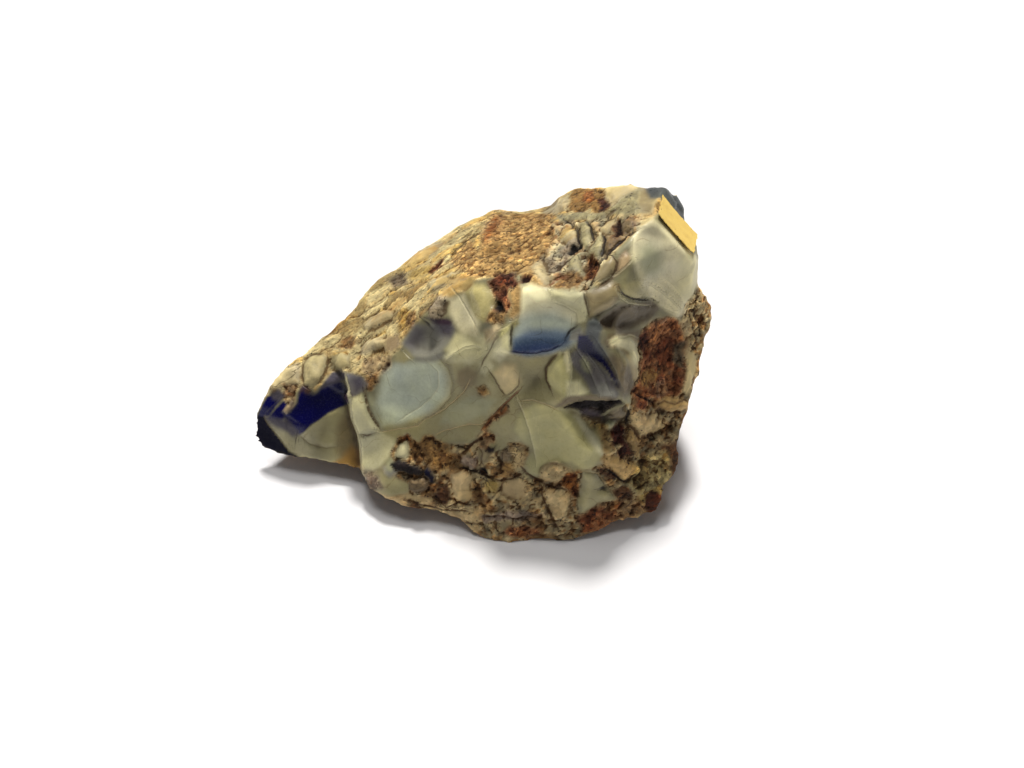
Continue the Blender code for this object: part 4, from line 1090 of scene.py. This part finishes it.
PLATE_SIZE = 3.0            # the streaky crust's plates, drawn out less than its streaks
PLATE_DRAW = 0.4
PLATE_SQUEEZE = np.eye(3) - PLATE_DRAW * np.outer(STREAK_WAY, STREAK_WAY)
PLATE_LIFT = 1.3            # their height against that of the chips
PLATE_SWING = 0.34          # how much their brightness differs
OCHRE_PLATE, OCHRE_TONES = np.array([1.00, 0.86, 0.58]), (0.76, 0.80)
DIM_PLATE, DIM_TONES = np.array([0.72, 0.66, 0.55]), (0.14, 0.10)
PATCH_SIZE = 2.4
PATCH_NOISE = ((PATCH_SIZE, 92), (PATCH_SIZE * 1.3, 96))       # size, seed
# A stain: what it weighs of those two noises, between which sums it fades in, and its factor.
RUST_STAINS = (
    ((1.0, 0.0), (0.25, 0.60), np.array([1.35, 1.30, 1.10])),
    ((-1.0, 0.0), (0.15, 0.50), np.array([0.60, 0.44, 0.42])),
    ((0.0, 1.0), (0.55, 0.80), np.array([0.95, 1.25, 1.75])))
RUBBLE_STAINS = (
    ((0.0, 1.0), (0.30, 0.55), BROWN_CHIP),
    ((1.0, 0.0), (0.40, 0.65), GREY_CHIP))
STREAK_SIZE, SPECKLE_SIZE, CLOUD_SIZE = 2.8, 1.0, 4.5
# What the pale streaks, the warm ones and the crust's brightness weigh of the streaks and speckle.
PALE_WEIGHTS, PALE_BAND = (-0.6, -0.8), (0.15, 0.9)
WARM_WEIGHTS, WARM_BAND = (0.7, 0.6), (0.1, 0.9)
CRUST_WEIGHTS = (0.10, 0.12)
PALE_SHARE, PALE_GAIN = 0.45, 0.25
WARM_SHARE = 0.40
WARM_TINT = np.array([0.86, 0.62, 0.38])
CLOUD_TINT = np.array([0.10, 0.08, -0.04])


def vary_colour(coat, surface):
    """Gives each chip of the crust its own tone, stains and streaks the crust, clouds the opal."""
    grain, chip, _, streaky = coat.finish.T
    crusty = smoothstep(*CRUSTY_GRAIN, grain)
    rusty = smoothstep(*RUSTY_GRAIN, grain)
    broken = crusty * smoothstep(*BROKEN_CHIP, chip) * (1.0 - 0.7 * streaky)
    tone_chips(coat, surface.points, crusty, broken)
    lay_plates(coat, surface.points)
    stain_patches(coat, surface.points, rusty, broken * (1.0 - rusty))
    streak_and_cloud(coat, surface.points, crusty)


def chip_field(points, streaky, size, seed):
    """Height and tone of blunt ribs along the streaks where it is streaky, and of chips elsewhere."""
    ribs = layered_noise(points @ STREAK_SQUEEZE, size, seed, 3)
    furrow = layered_noise(points @ STREAK_SQUEEZE, size * 1.6, seed + 5, 2)
    ribs = 0.8 * ribs + smoothstep(0.0, 0.25, np.abs(furrow)) - 0.7
    chips, label = tilted_chips(points, size * ROUND_CHIP, seed + 20)
    tone = np.where(streaky > 0.5, np.clip(0.5 + 0.5 * ribs, 0, 1), label)
    return chips + 0.7 * streaky * (ribs - chips), tone


def tone_chips(coat, points, crusty, broken):
    streaky = coat.finish[:, STREAKY]
    for size, weight, seed in CHIP_LAYERS:
        height, label = chip_field(points, streaky, size, SEED + seed)
        coat.chip_height += weight * height
        tone = scramble(label[:, None] * TONE_SPREAD, SEED)
        tone = np.where(streaky > 0.5, label, tone)
        coat.swing((CRUST_SWING * crusty + RUBBLE_SWING * broken) * (tone - 0.5))
        coat.stain(broken * smoothstep(*BROWN_TONES, tone), BROWN_CHIP)
        coat.stain(broken * smoothstep(*GREY_TONES, tone), GREY_CHIP)


def lay_plates(coat, points):
    """Breaks the streaky crust into plates of their own height and tone."""
    streaky = coat.finish[:, STREAKY]
    lift, plate = tilted_chips(points @ PLATE_SQUEEZE, PLATE_SIZE, SEED + 120)
    coat.chip_height += PLATE_LIFT * streaky * lift
    coat.swing(streaky * (PLATE_SWING * (plate - 0.5)))
    coat.stain(streaky * smoothstep(*OCHRE_TONES, plate), OCHRE_PLATE)
    coat.stain(streaky * smoothstep(*DIM_TONES, plate), DIM_PLATE)


def stain_patches(coat, points, rusty, rubbly):
    fields = [layered_noise(points, size, SEED + seed) for size, seed in PATCH_NOISE]
    for where, stains in ((rusty, RUST_STAINS), (rubbly, RUBBLE_STAINS)):
        for weights, band, factor in stains:
            coat.stain(where * smoothstep(*band, weigh(weights, fields)), factor)


def streak_and_cloud(coat, points, crusty):
    streaky = coat.finish[:, STREAKY]
    streaks = layered_noise(points @ STREAK_SQUEEZE, STREAK_SIZE, SEED + 80)
    speckle = layered_noise(points, SPECKLE_SIZE, SEED + 84)
    clouds = layered_noise(points, CLOUD_SIZE, SEED + 88)
    fields = streaks, speckle
    pale = crusty * smoothstep(*PALE_BAND, weigh(PALE_WEIGHTS, fields)) * PALE_SHARE
    coat.swing(PALE_GAIN * pale)
    warm = streaky * smoothstep(*WARM_BAND, weigh(WARM_WEIGHTS, fields)) * WARM_SHARE
    coat.stain(warm, WARM_TINT)
    coat.swing(crusty * weigh(CRUST_WEIGHTS, fields))
    coat.swing((1.0 - crusty) * clouds, CLOUD_TINT)


# ---- Relief --------------------------------------------------------------------------------------
GRAIN_SIZE = 0.75
LUMP_HEIGHT, PIT_DEPTH = 1.3, 1.1          # against the height of the grain
FLAKE_SIZE = 6.5
FLAKE_DEPTH = 5.0           # how many times deeper a flake dish is than a chip of the same tint
SMALL_FLAKE, SMALL_DEPTH = 0.4, 0.15       # the size and depth of the flakes within, against those
GLASS_SMOOTH = 0.6          # how far the relief of the glass is smoothed again
FLOOR_BAND = (0.2, 1.5)     # the relief fades out between these heights
RIM_ROUNDS = 4              # smoothing of the rim after the relief
FLOOR_GAP = 0.01
HOLLOW_SCALES = ((4, 0.08), (14, 0.18))    # rounds of smoothing, and the depth that counts as deep
BROAD_HOLLOW = ((160, 0.9),)
# Heights of the grain, and how strongly the material speckles them.
GRAIN_TO_SPECKLE = ((0.012, 0.03, 0.05, 0.08), (0.0, 0.4, 0.65, 1.0))


def relief_height(coat, surface):
    """How far each vertex moves out: the zones' relief, the grain, and the chips or the flakes."""
    points = surface.points
    grain, chip, _, _ = coat.finish.T
    crusty = smoothstep(*CRUSTY_GRAIN, grain)
    lumps = layered_noise(points, GRAIN_SIZE * 2, SEED + 50, 4)
    pits = smoothstep(0.25, 0.75, layered_noise(points, GRAIN_SIZE, SEED + 40, 2))
    height = coat.relief + grain * (LUMP_HEIGHT * lumps - PIT_DEPTH * pits)
    flakes = flake_dishes(points, FLAKE_SIZE, SEED + 70)
    flakes += SMALL_DEPTH * flake_dishes(points, FLAKE_SIZE * SMALL_FLAKE, SEED + 75)
    height += chip * (crusty * coat.chip_height + (1 - crusty) * FLAKE_DEPTH * flakes)
    return height + GLASS_SMOOTH * (1 - crusty) * (surface.smoothed(height, 2) - height)


def raise_relief(coat, surface):
    """Moves the vertices out by their relief, and keeps the stone inside the CAD box."""
    height = relief_height(coat, surface) * smoothstep(*FLOOR_BAND, surface.points[:, 2])
    normals = surface.smoothed(surface.normals(), 6)
    normals /= np.linalg.norm(normals, axis=1)[:, None]
    surface.points = surface.points + normals * height[:, None]
    rim = beside_path(to_pixels(surface.points), RIM, RIM_REACH)[:, None]
    for _ in range(RIM_ROUNDS):
        surface.soften(0.5 * rim)
    low, high = (np.array(corner) / MM for corner in cad_box)
    low[2] += FLOOR_GAP
    surface.points = np.clip(surface.points, low, high)


def measure_hollows(surface, scales):
    """How far each vertex lies below its surroundings, from -1 on an edge to 1 in a pit."""
    normals = surface.normals()
    total = np.zeros(len(surface.points))
    for rounds, scale in scales:
        around = surface.smoothed(surface.points, rounds)
        total += ((around - surface.points) * normals).sum(axis=1) / scale
    return np.clip(total / len(scales), -1.0, 1.0)


def write_coat(mesh, coat, surface):
    """Gives the vertices their places and what the material reads."""
    mesh.vertices.foreach_set("co", (surface.points * MM).astype(np.float32).ravel())
    grain, _, rough, streaky = coat.finish.T
    colours = {"tint": np.clip(coat.colour, 0, 1), "crack_tint": coat.crack_colour}
    numbers = {
        "grain": np.interp(grain, *GRAIN_TO_SPECKLE), "rough": rough, "streaky": streaky,
        "hollow": measure_hollows(surface, HOLLOW_SCALES),
        "broad_hollow": measure_hollows(surface, BROAD_HOLLOW),
        "crack_side": coat.crack_side, "crack_force": coat.crack_force, "crack_painted_light": coat.crack_painted_light}
    for name, values in colours.items():
        values = np.column_stack([values, np.ones(len(values))]).astype(np.float32)
        mesh.attributes.new(name, "FLOAT_COLOR", "POINT").data.foreach_set("color", values.ravel())
    for name, values in numbers.items():
        attribute = mesh.attributes.new(name, "FLOAT", "POINT")
        attribute.data.foreach_set("value", values.astype(np.float32))


def build_stone():
    mesh = fine_copy("stone")
    surface = Surface(mesh)
    melt(surface)
    coat = Coat(len(surface.points))
    paint_far_side(coat, surface)
    paint_near_side(coat, surface)
    vary_colour(coat, surface)
    raise_relief(coat, surface)
    write_coat(mesh, coat, surface)
    mesh.shade_smooth()
    mesh.update()
    mesh.materials.clear()
    mesh.materials.append(stone_material())
    stone = add_object("opal_stone", mesh)
    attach(stone, "root")
    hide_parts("stone")


# ---- Materials -----------------------------------------------------------------------------------
class Nodes:
    """A material's node tree with short calls for the nodes used here; sizes are millimetres."""

    def __init__(self, name):
        self.material = bpy.data.materials.new(name)
        self.material.use_nodes = True
        self.tree = self.material.node_tree
        self.shader = self.tree.nodes["Principled BSDF"]
        self.place = self.add("ShaderNodeTexCoord").outputs["Object"]

    def add(self, kind, **settings):
        node = self.tree.nodes.new(kind)
        for name, value in settings.items():
            setattr(node, name, value)
        return node

    def put(self, socket, value):
        if isinstance(value, bpy.types.NodeSocket):
            self.tree.links.new(value, socket)
        else:
            socket.default_value = value

    def attribute(self, name, output="Fac"):
        return self.add("ShaderNodeAttribute", attribute_name=name).outputs[output]

    def texture(self, kind, size, place, **settings):
        node = self.add(kind, **settings)
        self.put(node.inputs["Vector"], place or self.place)
        node.inputs["Scale"].default_value = 1.0 / (size * MM)
        return node

    def noise(self, size, detail=3.0, roughness=0.6, place=None, output="Fac"):
        """Noise from 0 to 1 with features of this size."""
        node = self.texture("ShaderNodeTexNoise", size, place)
        node.inputs["Detail"].default_value = detail
        node.inputs["Roughness"].default_value = roughness
        return node.outputs[output]

    def cells(self, size, feature="F1", place=None, output="Distance"):
        return self.texture("ShaderNodeTexVoronoi", size, place, feature=feature).outputs[output]

    def tones(self, size, place):
        """Three random numbers for each cell of this size."""
        node = self.add("ShaderNodeSeparateColor")
        self.put(node.inputs[0], self.cells(size, place=place, output="Color"))
        return node.outputs

    def vector(self, operation, first, second, output=0):
        node = self.add("ShaderNodeVectorMath", operation=operation)
        self.put(node.inputs[0], first)
        self.put(node.inputs["Scale" if operation == "SCALE" else 1], second)
        return node.outputs[output]

    def bent_place(self, size, reach):
        """The place, pushed about by noise of this size as far as this reach."""
        push = self.vector("SUBTRACT", self.noise(size, 2.0, output="Color"), (0.5, 0.5, 0.5))
        return self.vector("ADD", self.place, self.vector("SCALE", push, reach * MM))

    def streaked_place(self):
        """The place, squeezed along the crust's streaks so that noise is drawn out there."""
        along = self.vector("DOT_PRODUCT", self.place, tuple(STREAK_WAY), "Value")
        back = self.vector("SCALE", tuple(STREAK_WAY), self.product(along, -STREAK_DRAW))
        return self.vector("ADD", self.place, back)

    def math(self, operation, first, second=0.0, clamp=False):
        node = self.add("ShaderNodeMath", operation=operation, use_clamp=clamp)
        self.put(node.inputs[0], first)
        self.put(node.inputs[1], second)
        return node.outputs[0]

    def product(self, first, *others):
        for other in others:
            first = self.math("MULTIPLY", first, other)
        return first

    def ramp(self, value, low, high, to_low=0.0, to_high=1.0):
        node = self.add("ShaderNodeMapRange", interpolation_type="SMOOTHSTEP")
        for socket, given in zip(node.inputs, (value, low, high, to_low, to_high)):
            self.put(socket, given)
        return node.outputs["Result"]

    def mix(self, share, first, second, blend="MIX"):
        node = self.add("ShaderNodeMix", data_type="RGBA", blend_type=blend)
        self.put(node.inputs[0], share)
        self.put(node.inputs[6], first)
        self.put(node.inputs[7], second)
        return node.outputs[2]

    def grey(self, value):
        node = self.add("ShaderNodeCombineColor")
        for socket in node.inputs:
            self.put(socket, value)
        return node.outputs[0]

    def bump(self, height, distance):
        node = self.add("ShaderNodeBump")
        node.inputs["Strength"].default_value = 1.0
        node.inputs["Distance"].default_value = distance * MM
        self.put(node.inputs["Height"], height)
        return node.outputs["Normal"]


CRUSTY_SPECKLE = (0.15, 0.42)      # between these strengths of the speckle, crust fades in,
GLASSY_SPECKLE = (0.30, 0.10)      # and glass
FINE_SIZE, MOTTLE_SIZE, MOTTLE_RANGE = 0.42, 2.2, (0.90, 1.10)
GRANULE_BEND, BIT_BEND, FACET_BEND = (0.8, 0.7), (1.2, 1.0), (5.0, 4.0)
GRANULE_SIZE, GRANULE_RANGE = 0.62, (0.62, 1.38)       # size, and how dark and bright they are
FLOW_SIZE = 4.5             # the crust's streaks
# A dab is the factor that it multiplies the colour by, the band of a value where it is, its strength.
BROWN_GRANULE = ((0.42, 0.31, 0.22, 1), (0.70, 0.80), 0.8)
CREAM_GRANULE = ((1.75, 1.65, 1.50, 1), (0.80, 0.88), 0.7)
OCHRE_FLOW = ((0.80, 0.58, 0.30, 1), (0.52, 0.62), 0.5)
PALE_FLOW = ((1.18, 1.20, 1.20, 1), (0.47, 0.36), 1.0)
# A painted highlight: edges that stand above their surroundings are brightened.
PAINTED_EDGE_HIGHLIGHT = ((1.45, 1.45, 1.40, 1), (-0.08, -0.6), 0.6)
POCK_SIZE = 0.9
BIT_SIZE, BIT_RANGE = 1.5, (0.80, 1.22)
FACET_SIZE, FACET_RANGE = 6.5, (0.94, 1.06)
# A line or a hole is its colour, from which distance to which it fades in, and the band of noise
# that breaks it up.
FLOW_LINE, FLOW_EDGE, FLOW_GAPS = (0.10, 0.06, 0.025, 1), (0.011, 0.0), (0.48, 0.56)
POCK, POCK_EDGE, POCK_GAPS = (0.03, 0.018, 0.010, 1), (0.24, 0.12), (0.49, 0.56)
SEAM, SEAM_EDGE, SEAM_GAPS = (0.060, 0.040, 0.022, 1), (0.06, 0.0), (0.53, 0.62)
HAIR, HAIR_EDGE, HAIR_GAPS = (0.52, 0.42, 0.30, 1), (0.012, 0.0), (0.48, 0.60)
# Painted shade: the colours that hollows are darkened towards, on glass and on crust.
GLASS_PAINTED_SHADE, CRUST_PAINTED_SHADE = (0.42, 0.36, 0.30, 1), (0.26, 0.16, 0.09, 1)
HOLLOW_BAND = (0.10, 0.80)
# Painted light and shade on broad forms: broad rises brighter, broad hollows darker.
BROAD_PAINTED_LIGHT = (1.20, 0.72)  # brightness of broad rises and of broad hollows
CRACK_SHIVER = 1.4          # how far a crack wanders, in its own widths
CRACK_EDGE = (1.15, 0.35)   # how far from its middle it fades in, in its own widths
# The crack's step of painted light and shade fades out between these distances from it.
PAINTED_STEP_EDGE = (6.0, 0.3)      # the same for the brighter and the darker side of it
SKIN_BUMP, PAPER_BUMP = 0.20, 0.05
STONE_SHINE = 0.30


class Skin(Nodes):
    """The stone's node tree, with its colour so far and the shares that its layers go by."""

    def __init__(self):
        super().__init__("opal_and_crust")
        self.colour = self.attribute("tint", "Color")
        self.grain = self.attribute("grain")
        self.streaky = self.attribute("streaky")
        self.crusty = self.ramp(self.grain, *CRUSTY_SPECKLE)
        self.glassy = self.ramp(self.grain, *GLASSY_SPECKLE)
        unstreaked = self.math("SUBTRACT", 1.0, self.product(self.streaky, 0.6))
        self.crumbled = self.product(self.crusty, unstreaked)
        self.fine = self.noise(FINE_SIZE, 3.0, 0.7)

    def tone(self, factor, share=1.0):
        """Multiplies the colour by a factor, by a share from 0 to 1."""
        self.colour = self.mix(share, self.colour, factor, "MULTIPLY")

    def brighten(self, value, share=1.0):
        self.tone(self.grey(value), share)

    def dab(self, kind, value, *masks):
        """Lays a dab where the value is in its band, within the masks."""
        factor, band, strength = kind
        self.tone(factor, self.product(*masks, self.ramp(value, *band), strength))

    def cover(self, colour, share):
        self.colour = self.mix(share, self.colour, colour)

    def gapped(self, lines, noise, band, mask):
        """The lines within a mask, with gaps where the noise is below a band."""
        return self.product(lines, self.ramp(noise, *band), mask)


def lay_mottle(skin):
    """Cloudy variation everywhere, and a finer mottle that is stronger on the crust."""
    skin.brighten(skin.ramp(skin.noise(MOTTLE_SIZE, 4.0), 0.25, 0.75, *MOTTLE_RANGE))
    swing = skin.math("ADD", skin.product(skin.grain, 0.5), 0.12)
    mottle = skin.product(skin.math("SUBTRACT", skin.fine, 0.5), swing)
    skin.brighten(skin.math("ADD", mottle, 1.0))


def lay_granules(skin):
    """Granules of mixed tones, brown and cream among them; returns the distance to their middles."""
    bent = skin.bent_place(*GRANULE_BEND)
    tone, brown, cream = skin.tones(GRANULE_SIZE, bent)
    strong = skin.product(skin.grain, skin.grain)
    skin.brighten(skin.ramp(tone, 0.0, 1.0, *GRANULE_RANGE), skin.product(strong, 0.75))
    skin.dab(BROWN_GRANULE, brown, strong)
    skin.dab(CREAM_GRANULE, cream, strong)
    return skin.cells(GRANULE_SIZE, place=bent)


def lay_streaks(skin):
    """Streaks of ochre and of pale on the crust, and thin dark lines along them, which it returns."""
    flow = skin.noise(FLOW_SIZE, 5.0, 0.62, skin.streaked_place())
    skin.dab(OCHRE_FLOW, flow, skin.streaky)
    skin.dab(PALE_FLOW, flow, skin.streaky)
    line = skin.ramp(skin.math("ABSOLUTE", skin.math("SUBTRACT", flow, 0.5)), *FLOW_EDGE)
    line = skin.gapped(line, skin.noise(4.0, 2.0), FLOW_GAPS, skin.streaky)
    skin.cover(FLOW_LINE, skin.product(line, 0.5))
    return line


def lay_pocks(skin):
    """Small dark holes in the crust."""
    holes = skin.ramp(skin.cells(POCK_SIZE), *POCK_EDGE)
    pocks = skin.gapped(holes, skin.noise(POCK_SIZE * 2), POCK_GAPS, skin.crusty)
    skin.cover(POCK, skin.product(pocks, 0.95))


def lay_bits(skin):
    """The bits that the crust has crumbled into, and the seams between them, which it returns."""
    bent = skin.bent_place(*BIT_BEND)
    tone = skin.tones(BIT_SIZE, bent)[0]
    skin.brighten(skin.ramp(tone, 0.0, 1.0, *BIT_RANGE), skin.crumbled)
    borders = skin.ramp(skin.cells(BIT_SIZE, "DISTANCE_TO_EDGE", bent), *SEAM_EDGE)
    seams = skin.gapped(borders, skin.noise(2.2), SEAM_GAPS, skin.crumbled)
    skin.cover(SEAM, skin.product(seams, 0.7))
    return seams


def lay_facets(skin):
    """The facets that the glass has broken into, with hairlines between."""
    bent = skin.bent_place(*FACET_BEND)
    tone = skin.tones(FACET_SIZE, bent)[1]
    skin.brighten(skin.ramp(tone, 0.0, 1.0, *FACET_RANGE), skin.glassy)
    borders = skin.ramp(skin.cells(FACET_SIZE, "DISTANCE_TO_EDGE", bent), *HAIR_EDGE)
    hairs = skin.gapped(borders, skin.noise(3.5), HAIR_GAPS, skin.glassy)
    skin.tone(HAIR, skin.product(hairs, 0.5))


def paint_shade_and_highlights(skin):
    """Painted shade darkens the hollows, a painted highlight brightens the edges, and broad rises are
    painted brighter and broad hollows darker; returns the share of hollows.
    """
    hollow = skin.attribute("hollow")
    pit = skin.product(skin.ramp(hollow, *HOLLOW_BAND), 0.9)
    skin.tone(skin.mix(skin.grain, GLASS_PAINTED_SHADE, CRUST_PAINTED_SHADE), pit)
    skin.dab(PAINTED_EDGE_HIGHLIGHT, hollow)
    skin.brighten(skin.ramp(skin.attribute("broad_hollow"), -0.7, 0.7, *BROAD_PAINTED_LIGHT))
    return pit


def lay_cracks(skin):
    """Thin lines on the signed distance that the vertices carry, which it returns, and across them a step
    of painted light and shade: one side brighter, the other darker.
    """
    shiver = skin.product(skin.math("SUBTRACT", skin.noise(0.5, 2.0), 0.5), CRACK_SHIVER)
    signed = skin.math("ADD", skin.attribute("crack_side"), shiver)
    side = skin.math("ABSOLUTE", signed)
    step = skin.product(skin.ramp(signed, -0.4, 0.4, -1.0, 1.0), skin.ramp(side, *PAINTED_STEP_EDGE),
                        skin.attribute("crack_painted_light"))
    skin.brighten(skin.math("ADD", step, 1.0))
    crack = skin.product(skin.ramp(side, *CRACK_EDGE), skin.attribute("crack_force"))
    skin.cover(skin.attribute("crack_tint", "Color"), crack)
    return crack


def stone_material():
    skin = Skin()
    lay_mottle(skin)
    granules = lay_granules(skin)
    line = lay_streaks(skin)
    lay_pocks(skin)
    seams = lay_bits(skin)
    lay_facets(skin)
    pit = paint_shade_and_highlights(skin)
    crack = lay_cracks(skin)
    skin.put(skin.shader.inputs["Base Color"], skin.colour)
    skin.shader.inputs["Specular IOR Level"].default_value = STONE_SHINE

    rough = skin.math("ADD", skin.attribute("rough"), skin.ramp(skin.fine, 0.3, 0.7, -0.10, 0.10))
    rough = skin.math("ADD", rough, skin.product(pit, 0.3), clamp=True)
    skin.put(skin.shader.inputs["Roughness"], rough)

    pits = skin.product(skin.math("SUBTRACT", skin.fine, granules), skin.grain)
    ripples = skin.product(skin.noise(0.9, 4.0), skin.ramp(skin.grain, 0.0, 1.0, 0.08, 0.35))
    grooves = skin.math("MAXIMUM", crack, skin.math("MAXIMUM", line, seams))
    height = skin.math("SUBTRACT", skin.math("ADD", pits, ripples), skin.product(grooves, 0.8))
    skin.put(skin.shader.inputs["Normal"], skin.bump(height, SKIN_BUMP))
    return skin.material


PAPER, PAPER_STAIN = (0.86, 0.60, 0.13, 1), (0.70, 0.45, 0.09, 1)
PAPER_FIBRE, PAPER_SPOT = (0.92, 0.70, 0.26, 1), (0.23, 0.11, 0.03, 1)


def paper_material():
    paper = Nodes("aged_paper")
    fibres = paper.noise(0.25, 3.0)
    stains = paper.noise(2.0, 4.0)
    specks = paper.ramp(paper.cells(0.9), 0.16, 0.08)
    spots = paper.product(specks, paper.ramp(paper.noise(1.3), 0.50, 0.60), 0.7)
    colour = paper.mix(paper.ramp(stains, 0.40, 0.75), PAPER, PAPER_STAIN)
    colour = paper.mix(paper.ramp(fibres, 0.35, 0.7, 0.0, 0.35), colour, PAPER_FIBRE)
    colour = paper.mix(spots, colour, PAPER_SPOT)
    paper.put(paper.shader.inputs["Base Color"], colour)
    paper.put(paper.shader.inputs["Roughness"], paper.ramp(fibres, 0.2, 0.8, 0.62, 0.85))
    height = paper.math("ADD", fibres, stains)
    paper.put(paper.shader.inputs["Normal"], paper.bump(height, PAPER_BUMP))
    return paper.material


# ---- The label -----------------------------------------------------------------------------------
LABEL_STEPS_LONG, LABEL_STEPS_WIDE = 40, 16
LABEL_PAPER = 0.10          # thickness of the paper
LABEL_CURL = 0.12           # how far its ends lift
LABEL_RIPPLE = 0.02
LABEL_INSET = 0.02          # how far its edge draws back, as a share of its half size,
LABEL_TEAR = 0.04           # and how much further, or less, where it is torn
TEAR_PACE = 0.7             # noise read at each step of the paper


def label_place():
    """The CAD label's middle, its long, wide and outward ways, and its half sizes."""
    points = read_vectors(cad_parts["label"].data.vertices, "co") / MM
    middle = points.mean(axis=0)
    _, _, axes = np.linalg.svd(points - middle, full_matrices=False)
    long_way, _, out = axes
    if out[2] < 0:
        out = -out
    if long_way[2] > 0:
        long_way = -long_way
    ways = np.stack([long_way, np.cross(out, long_way), out])
    return middle, ways, np.abs((points - middle) @ ways.T).max(axis=0)


def paper_point(place, row, column, lift):
    """A point of the paper, which is bent and rippled and has torn edges."""
    middle, (long_way, wide_way, out), (half_long, half_wide, half_thick) = place
    along = 2 * row / LABEL_STEPS_LONG - 1
    across = 2 * column / LABEL_STEPS_WIDE - 1
    spot = np.array([[row * TEAR_PACE, column * TEAR_PACE, 3.0]])
    reach = 1.0
    if row in (0, LABEL_STEPS_LONG) or column in (0, LABEL_STEPS_WIDE):
        reach -= LABEL_INSET + LABEL_TEAR * noise(spot, 1.0, SEED + 90)[0]
    bend = half_thick - LABEL_PAPER - LABEL_CURL + LABEL_CURL * along ** 2
    ripple = LABEL_RIPPLE * noise(spot, 4.0, SEED + 91)[0]
    height = bend + ripple * (1 - abs(along)) + lift
    return Vector((middle + long_way * along * half_long * reach
                   + wide_way * across * half_wide * reach + out * height) * MM)


def add_sheet(strip, place, lift):
    """A grid of vertices for one side of the paper."""
    return [[strip.verts.new(paper_point(place, row, column, lift))
             for column in range(LABEL_STEPS_WIDE + 1)] for row in range(LABEL_STEPS_LONG + 1)]


def fill_sheet(strip, rows, order):
    """The faces of a sheet; their corners go round forwards (order 1) or backwards (-1)."""
    for row, after in zip(rows, rows[1:]):
        for column in range(LABEL_STEPS_WIDE):
            beside = column + 1
            strip.faces.new([row[column], after[column], after[beside], row[beside]][::order])


def rim_of(rows):
    """The rim of a grid of vertices, in order."""
    right = [row[-1] for row in rows[:-1]]
    left = [row[0] for row in rows[:0:-1]]
    return rows[0][:-1] + right + rows[-1][:0:-1] + left


def build_label():
    """A strip of paper in the place of the CAD label."""
    place = label_place()
    strip = bmesh.new()
    over, under = (add_sheet(strip, place, lift) for lift in (LABEL_PAPER, 0.0))
    fill_sheet(strip, over, 1)
    fill_sheet(strip, under, -1)
    rim = list(zip(rim_of(over), rim_of(under)))
    for (top, low), (next_top, next_low) in zip(rim, rim[1:] + rim[:1]):
        strip.faces.new([next_top, top, low, next_low])
    bmesh.ops.recalc_face_normals(strip, faces=strip.faces)
    mesh = bpy.data.meshes.new("paper_label")
    strip.to_mesh(mesh)
    strip.free()
    mesh.materials.append(paper_material())
    label = add_object("paper_label", mesh)
    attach(label, "root")
    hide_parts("label")


# ---- The stage -----------------------------------------------------------------------------------
FLOOR_HALF = 6.0            # metres
FLOOR_COLOUR = (0.86, 0.86, 0.88, 1)
FLOOR_ROUGHNESS, FLOOR_SHINE = 0.9, 0.1
SKY_STRENGTH = 0.12
BACKDROP_STRENGTH = 1.0
SENSOR_WIDTH = 36.0
NEAREST_SEEN = 0.005        # metres
# Each lamp: strength, where it shines from, how wide it looks in degrees, and its colour.
LAMPS = {
    "key": (3.45, Vector((0.02, 0.52, 0.85)), 8, (1.0, 0.97, 0.93)),
    "fill": (1.00, Vector((-0.05, 0.26, 0.96)), 20, (1.0, 0.98, 0.95)),
}


def make_floor():
    mesh = bpy.data.meshes.new("floor")
    signs = ((-1, -1), (1, -1), (1, 1), (-1, 1))
    mesh.from_pydata([(FLOOR_HALF * x, FLOOR_HALF * y, 0) for x, y in signs], [], [(0, 1, 2, 3)])
    finish = Nodes("pale_floor")
    finish.shader.inputs["Base Color"].default_value = FLOOR_COLOUR
    finish.shader.inputs["Roughness"].default_value = FLOOR_ROUGHNESS
    finish.shader.inputs["Specular IOR Level"].default_value = FLOOR_SHINE
    mesh.materials.append(finish.material)
    floor = add_object("floor", mesh)


def make_world():
    """A dim even sky that shows as a white backdrop."""
    world = bpy.data.worlds.new("studio")
    world.use_nodes = True
    tree = world.node_tree
    sky = tree.nodes["Background"]
    sky.inputs["Color"].default_value = (1, 1, 1, 1)
    rays = tree.nodes.new("ShaderNodeLightPath")
    strength = tree.nodes.new("ShaderNodeMapRange")
    strength.inputs["To Min"].default_value = SKY_STRENGTH
    strength.inputs["To Max"].default_value = BACKDROP_STRENGTH
    tree.links.new(rays.outputs["Is Camera Ray"], strength.inputs["Value"])
    tree.links.new(strength.outputs["Result"], sky.inputs["Strength"])
    bpy.context.scene.world = world


def make_lights():
    """Two wide soft lamps, one above and behind the stone and one nearly straight above it."""
    for name, (strength, place, width, colour) in LAMPS.items():
        lamp = bpy.data.lights.new(name, "SUN")
        lamp.energy = strength
        lamp.angle = math.radians(width)
        lamp.color = colour
        softbox = add_object(name, lamp)
        softbox.rotation_euler = (-place).to_track_quat("-Z", "Y").to_euler()


def make_camera():
    lens = bpy.data.cameras.new("camera")
    lens.sensor_width = SENSOR_WIDTH
    lens.lens = FOCAL_PIXELS * SENSOR_WIDTH / FRAME_WIDTH
    lens.clip_start = NEAREST_SEEN
    camera = add_object("camera", lens)
    camera.location = Vector(STATION * MM)
    camera.rotation_euler = (math.pi / 2 - SIGHT_TILT, 0, 0)
    bpy.context.scene.camera = camera


build_stone()
build_label()
make_floor()
make_world()
make_lights()
make_camera()
bpy.context.scene.view_settings.view_transform = "Standard"
